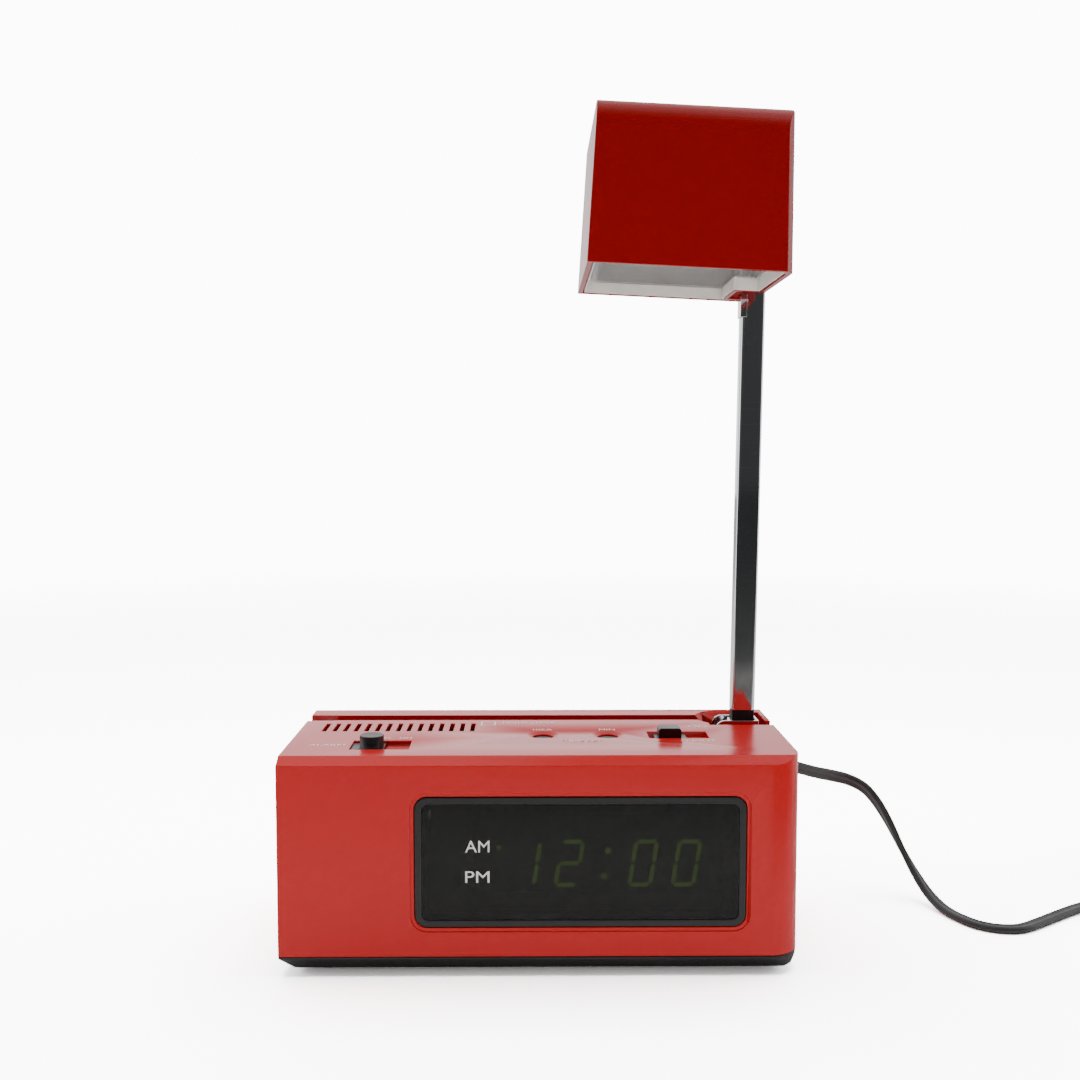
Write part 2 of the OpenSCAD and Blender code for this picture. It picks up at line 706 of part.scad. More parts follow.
module arm_knuckle() {
    plug_w = arm_w - 2 * arm_wall - 0.2;
    plug_t = arm_t - 2 * arm_wall - 0.2;
    base = arm_in - head_pin_rise;
    color("#8d9094") on_arm() translate([0, 0, head_reach]) difference() {
        union() {
            along_y(head_eye_r, -knuckle_t / 2, knuckle_t / 2);
            translate([-head_eye_r, -knuckle_t / 2, base]) cube([2 * head_eye_r, knuckle_t, -base]);
            translate([0, 0, base - knuckle_in]) linear_extrude(knuckle_in + eps) rounded(plug_w, plug_t, 0.8);
        }
        along_y(pin_d / 2 + running, -10, 10);
        for (s = [-1, 1]) translate([s * wire_gap, 0, -20]) cylinder(h = 40, r = 0.8);
    }
}

// Sheet clip that wraps the arm's front left edge just below the head.
module arm_clip() {
    top = rim_reach + 0.8;
    color("#e8eaec") on_arm() {
        block([-arm_w / 2 - clip_t, -clip_y, top - 8.6], [-arm_w / 2 + 1.9, -arm_t / 2 - 0.01, top]);
        block([-arm_w / 2 - clip_t, -clip_y, top - 8.6], [-arm_w / 2 - 0.01, arm_t / 2 - 1, top]);
    }
}

module lamp_lead() {
    color("#e8e3d6") on_arm() for (s = [-1, 1])
        translate([s * wire_gap, 0, -3.2]) cylinder(h = head_reach + 6.1, r = 0.7);
}

// ---------------------------------------------------------------- lamp head
// In the head's frame the rim is head_pin_rise below the pin, x runs across the head,
// and the head's front face is flush with the case's front face.

head_y0 = front_y - arm_y;
head_y1 = rear_y - arm_y;
rim_z = -head_pin_rise;
crown_z = rim_z + shade_h;

// How far a side has drawn in at height z; side 0 is the left one and side 1 the right one.
function draft_at(z, side) = (z - rim_z) * tan(draft[side]);

// Outline across the head in (x, z), grown or shrunk by inset.
module across(inset, z0, z1) {
    x0 = side_out - shade_w + inset;
    x1 = side_out - inset;
    polygon([[x0 + draft_at(z0, 0), z0], [x1 - draft_at(z0, 1), z0],
             [x1 - draft_at(z1, 1), z1], [x0 + draft_at(z1, 0), z1]]);
}

// Solid of the head: drafted sides, bevelled right front edge and a round top front edge.
module head_solid(inset, z0) {
    z1 = crown_z - inset;
    r = corner_r - inset;
    y0 = head_y0 + inset;
    y1 = head_y1 - inset;
    intersection() {
        translate([0, y1, 0]) rotate([90, 0, 0]) linear_extrude(y1 - y0) across(inset, z0, z1);
        translate([-shade_w - 10, 0, 0]) rotate([90, 0, 90]) linear_extrude(shade_w + 30) union() {
            translate([y0, z0]) square([y1 - y0, z1 - z0 - r]);
            translate([y0 + r, z0]) square([y1 - y0 - r, z1 - z0]);
            translate([y0 + r, z1 - r]) circle(r);
        }
        // the bevel leans with the right side
        translate([side_out, 0, rim_z]) rotate([0, -draft[1], 0]) translate([-side_out, 0, z0 - rim_z - 5])
            linear_extrude(z1 - z0 + 12)
                polygon([[-shade_w - 20, y0], [side_out - bevel_h - inset / 2, y0],
                         [side_out - inset + 1, y0 + bevel_d + inset / 2 + 1.8],
                         [side_out + 10, y0 + bevel_d + 20], [side_out + 10, y1], [-shade_w - 20, y1]]);
    }
}

// Room for the arm's end: a wide low slot and a narrower pocket for the knuckle.
module notch_room(grow) {
    block([-notch_left - grow, notch_front - arm_y - grow, rim_z - 1],
          [side_out + 10, notch_rear - arm_y + grow, rim_z + notch_low + grow]);
    block([-head_eye_r - 0.8 - grow, -lug_out - 0.7 - grow, rim_z - 1],
          [side_out + 10, lug_out + 0.7 + grow, rim_z + notch_top + grow]);
}

module shade_shell() {
    color("#c4201e") on_head() difference() {
        head_solid(0, rim_z);
        difference() {
            head_solid(shade_wall, rim_z - 1);
            notch_room(notch_wall);
        }
        notch_room(0);
        for (i = [0 : 6]) block([-52 + i * 6.5, head_y1 - 5, crown_z - 22], [-49 + i * 6.5, head_y1 + 5, crown_z - 10]);
    }
}

module shade_reflector() {
    color("#d9dadb") on_head() difference() {
        head_solid(shade_wall + 0.4, rim_z + 1.2);
        difference() {
            head_solid(shade_wall + 1.2, rim_z - 1);
            block([-80, -80, crown_z - 8.8], [40, 80, crown_z]);
            notch_room(notch_wall + 1.2);
        }
        block([-80, -80, crown_z - 8], [40, 80, crown_z + 5]);
        notch_room(notch_wall + 0.4);
        translate([socket_x, 0, socket_z]) along_y(3, head_y1 - 12, head_y1);
    }
}

socket_x = side_out - shade_w / 2 - 4;
socket_z = rim_z + 27;
socket_y = head_y1 - shade_wall - 1.25;

module head_bracket() {
    top = rim_z + notch_top - 0.05;
    color("#c9ccd0") on_head() difference() {
        block([-head_eye_r - 0.5, -lug_out, rim_z + 2.9], [side_out - 0.1 - draft_at(top, 1), lug_out, top]);
        block([-head_eye_r - 1, -lug_in, rim_z], [side_out + 1, lug_in, top - 1]);
        along_y(pin_d / 2 + 0.02, -20, 20);
    }
}

module head_pin() {
    color("#8f9296") on_head() {
        along_y(pin_d / 2, -lug_out - 0.5, lug_out + 0.5);
        along_y(pin_d / 2 + 0.8, -lug_out - 0.6, -lug_out - 0.1);
        along_y(pin_d / 2 + 0.8, lug_out + 0.1, lug_out + 0.6);
    }
}

module head_washers() { color("#d8d4c4") on_head() washers(knuckle_t / 2); }

module socket_bracket() {
    color("#b5b8bb") on_head() difference() {
        block([socket_x - 9, socket_y - 1, socket_z - 10], [socket_x + 9, socket_y, socket_z + 10]);
        translate([socket_x, 0, socket_z]) along_y(3, socket_y - 5, socket_y + 5);
    }
}

module lamp_socket() {
    color("#ece7da") on_head() translate([socket_x, 0, socket_z]) difference() {
        along_y(8.6, socket_y - 21, socket_y - 1);
        along_y(6.3, socket_y - 22, socket_y - 5);
    }
}

module bulb_cap() {
    color("#c9a85c") on_head() translate([socket_x, 0, socket_z]) union() {
        along_y(6, socket_y - 23, socket_y - 7);
        along_y(2.2, socket_y - 8.4, socket_y - 5.4);
    }
}

module bulb_glass() {
    mid = socket_y - 23 - bulb_d * 0.62;
    color("#f4f1e6") on_head() translate([socket_x, 0, socket_z]) union() {
        translate([0, mid, 0]) sphere(r = bulb_d / 2);
        along_y(6.6, mid, socket_y - 23.05);
    }
}

// ---------------------------------------------------------------- mains lead

module strain_relief() {
    color("#19191a") translate([exit_x, 0, exit_z]) difference() {
        union() {
            along_y(3.5, rear_y - wall - 1.5, rear_y + 0.5);
            along_y(5.2, rear_y - wall - 2.6, rear_y - wall - 0.05);
            along_y(5.4, rear_y + 0.05, rear_y + 2.4);
            translate([0, rear_y + relief_l, 0]) rotate([90, 0, 0])
                cylinder(h = relief_l - 2, r1 = cord_w / 2 + 0.5, r2 = 4.6);
        }
        along_y(cord_w / 2 + 0.02, cord_route[0][1] - 0.05, rear_y + relief_l + 1);
    }
}

function unit(v) = v / norm(v);
function tangent(p, i) = unit(p[min(i + 1, len(p) - 1)] - p[max(i - 1, 0)]);
function side(t) = unit(cross(t, [0, 0, 1]));
function spline(p, i, u) = let (a = p[max(i - 1, 0)], b = p[i], c = p[i + 1], d = p[min(i + 2, len(p) - 1)])
    0.5 * (2 * b + (c - a) * u + (2 * a - 5 * b + 4 * c - d) * u * u + (3 * b - a - 3 * c + d) * u * u * u);
function resample(p, n) = [for (i = [0 : len(p) - 2], k = [0 : n - 1]) spline(p, i, k / n), p[len(p) - 1]];

// A flat lead: a, its width, stays level, and b, its thickness, points up from it.
module sweep(path, half_w, half_t, n) {
    m = len(path);
    points = [for (i = [0 : m - 1]) let (t = tangent(path, i), a = side(t), b = cross(a, t))
              for (k = [0 : n - 1]) path[i] + half_w * cos(360 * k / n) * a + half_t * sin(360 * k / n) * b];
    walls = [for (i = [0 : m - 2], k = [0 : n - 1])
             [i * n + k, i * n + (k + 1) % n, (i + 1) * n + (k + 1) % n, (i + 1) * n + k]];
    caps = [[for (k = [0 : n - 1]) n - 1 - k], [for (k = [0 : n - 1]) (m - 1) * n + k]];
    polyhedron(points = points, faces = concat(walls, caps), convexity = 8);
}

module cord_run() { color("#3a3a3d") sweep(resample(cord_route, 2), cord_w / 2, cord_t / 2, cord_sides); }

module cord_coil() {
    color("#3a3a3d") translate([coil_at[0], coil_at[1], 0]) rotate_extrude($fn = 64)
        translate([coil_d / 2 - coil_turns_w / 2, 0]) square([coil_turns_w, coil_turns_h]);
}

module coil_tie() {
    color("#1c1c1e") translate([coil_at[0] + coil_d / 2, coil_at[1], 0]) difference() {
        block([-coil_turns_w / 2 - 1.1, -2, 0], [coil_turns_w / 2 + 1.1, 2, coil_turns_h + 1]);
        block([-coil_turns_w / 2 - 0.25, -3, -1], [coil_turns_w / 2 + 0.25, 3, coil_turns_h + 0.1]);
    }
}

// The plug lies on the coil, along a turn, with its blades pointing forward.
module on_coil() {
    translate([coil_at[0] - plug_reach, coil_at[1] - 18, coil_turns_h + 0.1]) children();
}

module plug_body() {
    pocket = blade_root + 0.05;
    color("#1b1b1d") on_coil() difference() {
        block([-plug_w / 2, 0, 0], [plug_w / 2, plug_l, plug_h]);
        for (sx = [-1, 1]) block([sx * blade_gap / 2 - blade_t / 2 - 0.05, -1, plug_h / 2 - blade_h / 2 - 0.05],
                                 [sx * blade_gap / 2 + blade_t / 2 + 0.05, pocket, plug_h / 2 + blade_h / 2 + 0.05]);
    }
}

module plug_blades() {
    color("#c9a24a") on_coil() for (sx = [-1, 1])
        block([sx * blade_gap / 2 - blade_t / 2, -blade_l, plug_h / 2 - blade_h / 2],
              [sx * blade_gap / 2 + blade_t / 2, blade_root, plug_h / 2 + blade_h / 2]);
}

upper_case();
rear_cover();
base_tray();
rubber_feet();
case_screws();
rear_screws();
window_bezel();
window_lens();
display_tube();
display_board();
main_board();
clock_chip();
capacitors();
transformer_core();
transformer_coil();
alarm_buzzer();
switch_board();
board_screws();
alarm_switch();
light_switch();
key_switches();
alarm_slider();
light_slider();
hour_button();
minute_button();
hinge_bracket();
hinge_pin();
hinge_washers();
lamp_arm();
arm_foot();
arm_guard();
arm_knuckle();
arm_clip();
lamp_lead();
head_bracket();
head_pin();
head_washers();
shade_shell();
shade_reflector();
socket_bracket();
lamp_socket();
bulb_cap();
bulb_glass();
strain_relief();
cord_run();
cord_coil();
coil_tie();
plug_body();
plug_blades();
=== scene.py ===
import json
import math

import bmesh
import bpy
from mathutils import Matrix, Vector


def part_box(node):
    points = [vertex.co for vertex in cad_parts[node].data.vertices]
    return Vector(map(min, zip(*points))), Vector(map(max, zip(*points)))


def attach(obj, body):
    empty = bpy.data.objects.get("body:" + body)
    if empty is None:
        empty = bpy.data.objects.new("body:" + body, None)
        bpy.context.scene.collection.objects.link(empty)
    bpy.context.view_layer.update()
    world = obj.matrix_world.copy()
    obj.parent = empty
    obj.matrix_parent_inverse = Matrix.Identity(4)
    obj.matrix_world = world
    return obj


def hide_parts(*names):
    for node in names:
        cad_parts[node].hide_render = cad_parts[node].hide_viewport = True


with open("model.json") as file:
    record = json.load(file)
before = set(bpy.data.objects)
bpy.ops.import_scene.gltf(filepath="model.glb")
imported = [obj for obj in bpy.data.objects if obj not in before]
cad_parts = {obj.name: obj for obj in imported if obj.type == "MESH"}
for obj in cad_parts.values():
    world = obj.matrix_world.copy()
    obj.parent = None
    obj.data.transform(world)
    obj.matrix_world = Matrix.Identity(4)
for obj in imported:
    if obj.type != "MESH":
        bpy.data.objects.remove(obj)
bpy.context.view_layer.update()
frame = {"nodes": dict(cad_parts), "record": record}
nodes = frame["nodes"]
mm = 0.001


def point(x, y, z):
    return Vector((x * mm, y * mm, z * mm))


camSet = {"place": (-3.3, -434.1, 175.6), "pitch": 86.04, "yaw": -0.48, "lens": 40, "sensor": 36}


def makeCamera():
    data = bpy.data.cameras.new("studioCamera")
    data.lens = camSet["lens"]
    data.sensor_width = camSet["sensor"]
    data.clip_start = 0.01
    cam = bpy.data.objects.new("studioCamera", data)
    cam.location = point(*camSet["place"])
    cam.rotation_euler = (math.radians(camSet["pitch"]), 0, math.radians(camSet["yaw"]))
    bpy.context.scene.collection.objects.link(cam)
    bpy.context.scene.camera = cam


lightSet = {
    # name: (place in m, aim in m, width, height, watts, colour)
    "topSoftbox": ((0.0, 0.15, 1.1), (0, 0.02, 0.05), 1.2, 0.8, 13, (1.0, 0.99, 0.975)),
    "lowFront": ((0.02, -0.5, 0.02), (0, -0.03, 0.02), 0.55, 0.03, 1.15, (1.0, 0.95, 0.92)),
    "leftStrip": ((-0.95, 0.15, 0.30), (0, 0, 0.15), 0.4, 0.8, 1.6, (1.0, 0.99, 0.98)),
    "rightStrip": ((0.95, 0.15, 0.30), (0, 0, 0.15), 0.4, 0.8, 1.6, (0.93, 0.97, 1.0)),
}


def makeLights():
    for name, (place, aim, width, height, watts, colour) in lightSet.items():
        data = bpy.data.lights.new(name, "AREA")
        data.shape = "RECTANGLE"
        data.size = width
        data.size_y = height
        data.energy = watts
        data.color = colour
        lamp = bpy.data.objects.new(name, data)
        lamp.location = place
        lamp.rotation_euler = (Vector(aim) - Vector(place)).to_track_quat("-Z", "Y").to_euler()
        lamp.visible_camera = False
        lamp.visible_glossy = name in ("leftStrip", "rightStrip")
        bpy.context.scene.collection.objects.link(lamp)


worldSet = {
    # strength by how far a direction points to the back, +Y, from -1 to 1
    "bands": ((-1.0, 0.05), (-0.45, 0.08), (0.0, 0.8), (0.5, 0.9), (0.86, 1.0), (1.0, 2.2)),
    "seen": 12.0, "tint": (0.985, 0.992, 1.0),
}


def makeWorld():
    # dim in front, so that plated faces read dark, and bright behind and at the sides
    world = bpy.data.worlds.new("studio")
    world.use_nodes = True
    tree = world.node_tree
    tree.nodes.clear()
    coord = tree.nodes.new("ShaderNodeTexCoord")
    split = tree.nodes.new("ShaderNodeSeparateXYZ")
    tree.links.new(coord.outputs["Generated"], split.inputs[0])
    total = None
    for (fromY, low), (toY, high) in zip(worldSet["bands"], worldSet["bands"][1:]):
        ramp = tree.nodes.new("ShaderNodeMapRange")
        ramp.inputs["From Min"].default_value = fromY
        ramp.inputs["From Max"].default_value = toY
        ramp.inputs["To Min"].default_value = 0
        ramp.inputs["To Max"].default_value = high - low
        tree.links.new(split.outputs["Y"], ramp.inputs["Value"])
        add = tree.nodes.new("ShaderNodeMath")
        add.inputs[0].default_value = worldSet["bands"][0][1]
        if total:
            tree.links.new(total, add.inputs[0])
        tree.links.new(ramp.outputs["Result"], add.inputs[1])
        total = add.outputs[0]
    lit = tree.nodes.new("ShaderNodeBackground")
    lit.inputs["Color"].default_value = (*worldSet["tint"], 1)
    seen = tree.nodes.new("ShaderNodeBackground")
    seen.inputs["Color"].default_value = (*worldSet["tint"], 1)
    seen.inputs["Strength"].default_value = worldSet["seen"]
    path = tree.nodes.new("ShaderNodeLightPath")
    mix = tree.nodes.new("ShaderNodeMixShader")
    out = tree.nodes.new("ShaderNodeOutputWorld")
    tree.links.new(total, lit.inputs["Strength"])
    tree.links.new(path.outputs["Is Camera Ray"], mix.inputs["Fac"])
    tree.links.new(lit.outputs[0], mix.inputs[1])
    tree.links.new(seen.outputs[0], mix.inputs[2])
    tree.links.new(mix.outputs[0], out.inputs["Surface"])
    bpy.context.scene.world = world


floorSet = {
    "lit": 0.85, "seen": 7.5,            # how pale the floor is to other light and to the camera
    "near": 0.4, "far": 1.6,             # where it melts into the backdrop
    "frontNear": 0.12, "frontFar": 0.42, "frontGloss": 0.06,
}


def makeFloor():
    bm = bmesh.new()
    bmesh.ops.create_circle(bm, cap_ends=True, segments=96, radius=6)
    mesh = bpy.data.meshes.new("floor")
    bm.to_mesh(mesh)
    bm.free()
    floor = bpy.data.objects.new("floor", mesh)
    bpy.context.scene.collection.objects.link(floor)
    mat = bpy.data.materials.new("paleFloor")
    mat.use_nodes = True
    tree = mat.node_tree
    tree.nodes.clear()
    link = tree.links.new
    coord = tree.nodes.new("ShaderNodeTexCoord")
    path = tree.nodes.new("ShaderNodeLightPath")
    lit = tree.nodes.new("ShaderNodeBsdfDiffuse")
    seen = tree.nodes.new("ShaderNodeBsdfDiffuse")
    for shader, pale in ((lit, floorSet["lit"]), (seen, floorSet["seen"])):
        shader.inputs["Color"].default_value = (pale, pale, pale * 0.995, 1)
    # in reflections the floor darkens away from the front of the clock
    split = tree.nodes.new("ShaderNodeSeparateXYZ")
    front = tree.nodes.new("ShaderNodeMapRange")
    front.interpolation_type = "SMOOTHSTEP"
    front.inputs["From Min"].default_value = -floorSet["frontNear"]
    front.inputs["From Max"].default_value = -floorSet["frontFar"]
    front.inputs["To Max"].default_value = 1 - floorSet["frontGloss"]
    glossOnly = tree.nodes.new("ShaderNodeMath")
    glossOnly.operation = "MULTIPLY"
    dark = tree.nodes.new("ShaderNodeBsdfDiffuse")
    dark.inputs["Color"].default_value = (0, 0, 0, 1)
    inGloss = tree.nodes.new("ShaderNodeMixShader")
    byCamera = tree.nodes.new("ShaderNodeMixShader")
    reach = tree.nodes.new("ShaderNodeVectorMath")
    reach.operation = "LENGTH"
    fade = tree.nodes.new("ShaderNodeMapRange")
    fade.interpolation_type = "SMOOTHSTEP"
    fade.inputs["From Min"].default_value = floorSet["near"]
    fade.inputs["From Max"].default_value = floorSet["far"]
    onlySeen = tree.nodes.new("ShaderNodeMath")
    onlySeen.operation = "MULTIPLY"
    glow = tree.nodes.new("ShaderNodeEmission")
    glow.inputs["Color"].default_value = (*worldSet["tint"], 1)
    glow.inputs["Strength"].default_value = worldSet["seen"]
    mix = tree.nodes.new("ShaderNodeMixShader")
    out = tree.nodes.new("ShaderNodeOutputMaterial")
    link(coord.outputs["Object"], split.inputs[0])
    link(split.outputs["Y"], front.inputs["Value"])
    link(path.outputs["Is Glossy Ray"], glossOnly.inputs[0])
    link(front.outputs["Result"], glossOnly.inputs[1])
    link(glossOnly.outputs[0], inGloss.inputs["Fac"])
    link(lit.outputs[0], inGloss.inputs[1])
    link(dark.outputs[0], inGloss.inputs[2])
    link(path.outputs["Is Camera Ray"], byCamera.inputs["Fac"])
    link(inGloss.outputs[0], byCamera.inputs[1])
    link(seen.outputs[0], byCamera.inputs[2])
    link(coord.outputs["Object"], reach.inputs[0])
    link(reach.outputs["Value"], fade.inputs["Value"])
    link(path.outputs["Is Camera Ray"], onlySeen.inputs[0])
    link(fade.outputs["Result"], onlySeen.inputs[1])
    link(onlySeen.outputs[0], mix.inputs["Fac"])
    link(byCamera.outputs[0], mix.inputs[1])
    link(glow.outputs[0], mix.inputs[2])
    link(mix.outputs[0], out.inputs["Surface"])
    mesh.materials.append(mat)


makeCamera()
makeLights()
makeWorld()
makeFloor()
print("camera, floor and lights made")

def groupTree(name, ins, outs):
    tree = bpy.data.node_groups.new(name, "ShaderNodeTree")
    for label, value in ins.items():
        made = tree.interface.new_socket(label, in_out="INPUT", socket_type="NodeSocketFloat")
        made.default_value = value
    for label in outs:
        tree.interface.new_socket(label, in_out="OUTPUT", socket_type="NodeSocketFloat")
    return tree, tree.nodes.new("NodeGroupInput"), tree.nodes.new("NodeGroupOutput")


def addNode(tree, kind, values=None, **attributes):
    made = tree.nodes.new(kind)
    for key, value in attributes.items():
        setattr(made, key, value)
    for key, value in (values or {}).items():
        made.inputs[key].default_value = value
    return made


def makeWearGroup():
    # mottle, moulded grain, hair scratches and dust specks, all on Object coordinates
    ins = {"Mottle Scale": 30, "Grain Scale": 2500, "Scratch Scale": 1, "Speck Scale": 260}
    tree, start, end = groupTree("surfaceWear", ins, ["Mottle", "Grain", "Scratch", "Speck"])
    coord = addNode(tree, "ShaderNodeTexCoord")
    mottle = addNode(tree, "ShaderNodeTexNoise", {"Detail": 4.0, "Roughness": 0.55})
    grain = addNode(tree, "ShaderNodeTexNoise", {"Detail": 1.0})
    tree.links.new(coord.outputs["Object"], mottle.inputs["Vector"])
    tree.links.new(coord.outputs["Object"], grain.inputs["Vector"])
    tree.links.new(start.outputs["Mottle Scale"], mottle.inputs["Scale"])
    tree.links.new(start.outputs["Grain Scale"], grain.inputs["Scale"])
    tree.links.new(mottle.outputs["Fac"], end.inputs["Mottle"])
    tree.links.new(grain.outputs["Fac"], end.inputs["Grain"])
    lines = []
    for turn, stretch in (((0.3, 0.5, 0.2), (30, 1900, 1900)), ((0.9, -0.4, 1.2), (1700, 45, 1700))):
        place = addNode(tree, "ShaderNodeMapping", {"Rotation": turn, "Scale": stretch})
        noise = addNode(tree, "ShaderNodeTexNoise", {"Detail": 0.0})
        cut = addNode(tree, "ShaderNodeMapRange", {"From Min": 0.725, "From Max": 0.765})
        tree.links.new(coord.outputs["Object"], place.inputs["Vector"])
        tree.links.new(place.outputs["Vector"], noise.inputs["Vector"])
        tree.links.new(start.outputs["Scratch Scale"], noise.inputs["Scale"])
        tree.links.new(noise.outputs["Fac"], cut.inputs["Value"])
        lines.append(cut)
    both = addNode(tree, "ShaderNodeMath", operation="MAXIMUM")
    tree.links.new(lines[0].outputs["Result"], both.inputs[0])
    tree.links.new(lines[1].outputs["Result"], both.inputs[1])
    tree.links.new(both.outputs[0], end.inputs["Scratch"])
    cells = addNode(tree, "ShaderNodeTexVoronoi", {"Randomness": 1.0})
    dots = addNode(tree, "ShaderNodeMapRange", {"From Min": 0.034, "From Max": 0.02})
    tree.links.new(coord.outputs["Object"], cells.inputs["Vector"])
    tree.links.new(start.outputs["Speck Scale"], cells.inputs["Scale"])
    tree.links.new(cells.outputs["Distance"], dots.inputs["Value"])
    tree.links.new(dots.outputs["Result"], end.inputs["Speck"])
    return tree


def makeBandsGroup():
    # fine parallel bands, for laminations, windings and turned or brushed metal
    ins = {"Across X": 0, "Across Y": 0, "Across Z": 1, "Waver": 0.4}
    tree, start, end = groupTree("fineBands", ins, ["Band"])
    coord = addNode(tree, "ShaderNodeTexCoord")
    turn = addNode(tree, "ShaderNodeVectorMath", operation="DOT_PRODUCT")
    pack = addNode(tree, "ShaderNodeCombineXYZ")
    noise = addNode(tree, "ShaderNodeTexNoise", {"Scale": 120.0})
    add = addNode(tree, "ShaderNodeMath", operation="MULTIPLY_ADD")
    wave = addNode(tree, "ShaderNodeMath", operation="SINE")
    half = addNode(tree, "ShaderNodeMapRange", {"From Min": -1.0, "From Max": 1.0})
    for axis in "XYZ":
        tree.links.new(start.outputs["Across " + axis], pack.inputs[axis])
    tree.links.new(coord.outputs["Object"], turn.inputs[0])
    tree.links.new(pack.outputs[0], turn.inputs[1])
    tree.links.new(coord.outputs["Object"], noise.inputs["Vector"])
    tree.links.new(noise.outputs["Fac"], add.inputs[0])
    tree.links.new(start.outputs["Waver"], add.inputs[1])
    tree.links.new(turn.outputs["Value"], add.inputs[2])
    tree.links.new(add.outputs[0], wave.inputs[0])
    tree.links.new(wave.outputs[0], half.inputs["Value"])
    tree.links.new(half.outputs["Result"], end.inputs["Band"])
    return tree


wearGroup = makeWearGroup()
bandsGroup = makeBandsGroup()

# what every finish starts from: mottle, grain, specks and scratches are sizes of pattern per metre
plainFinish = {
    "dark": (0.5, 0.5, 0.5), "light": (0.55, 0.55, 0.55), "mottle": 30, "grain": 2500, "specks": 260,
    "scratches": 1, "rough": (0.3, 0.45), "metal": 0.0, "bump": 0.15, "depth": 0.00004,
    "scratchMark": 0.0, "scratchColour": (0.8, 0.8, 0.8), "speckMark": 0.0, "speckColour": (0.8, 0.78, 0.74),
    "bands": None, "bandMark": 0.0, "sockets": {},
}

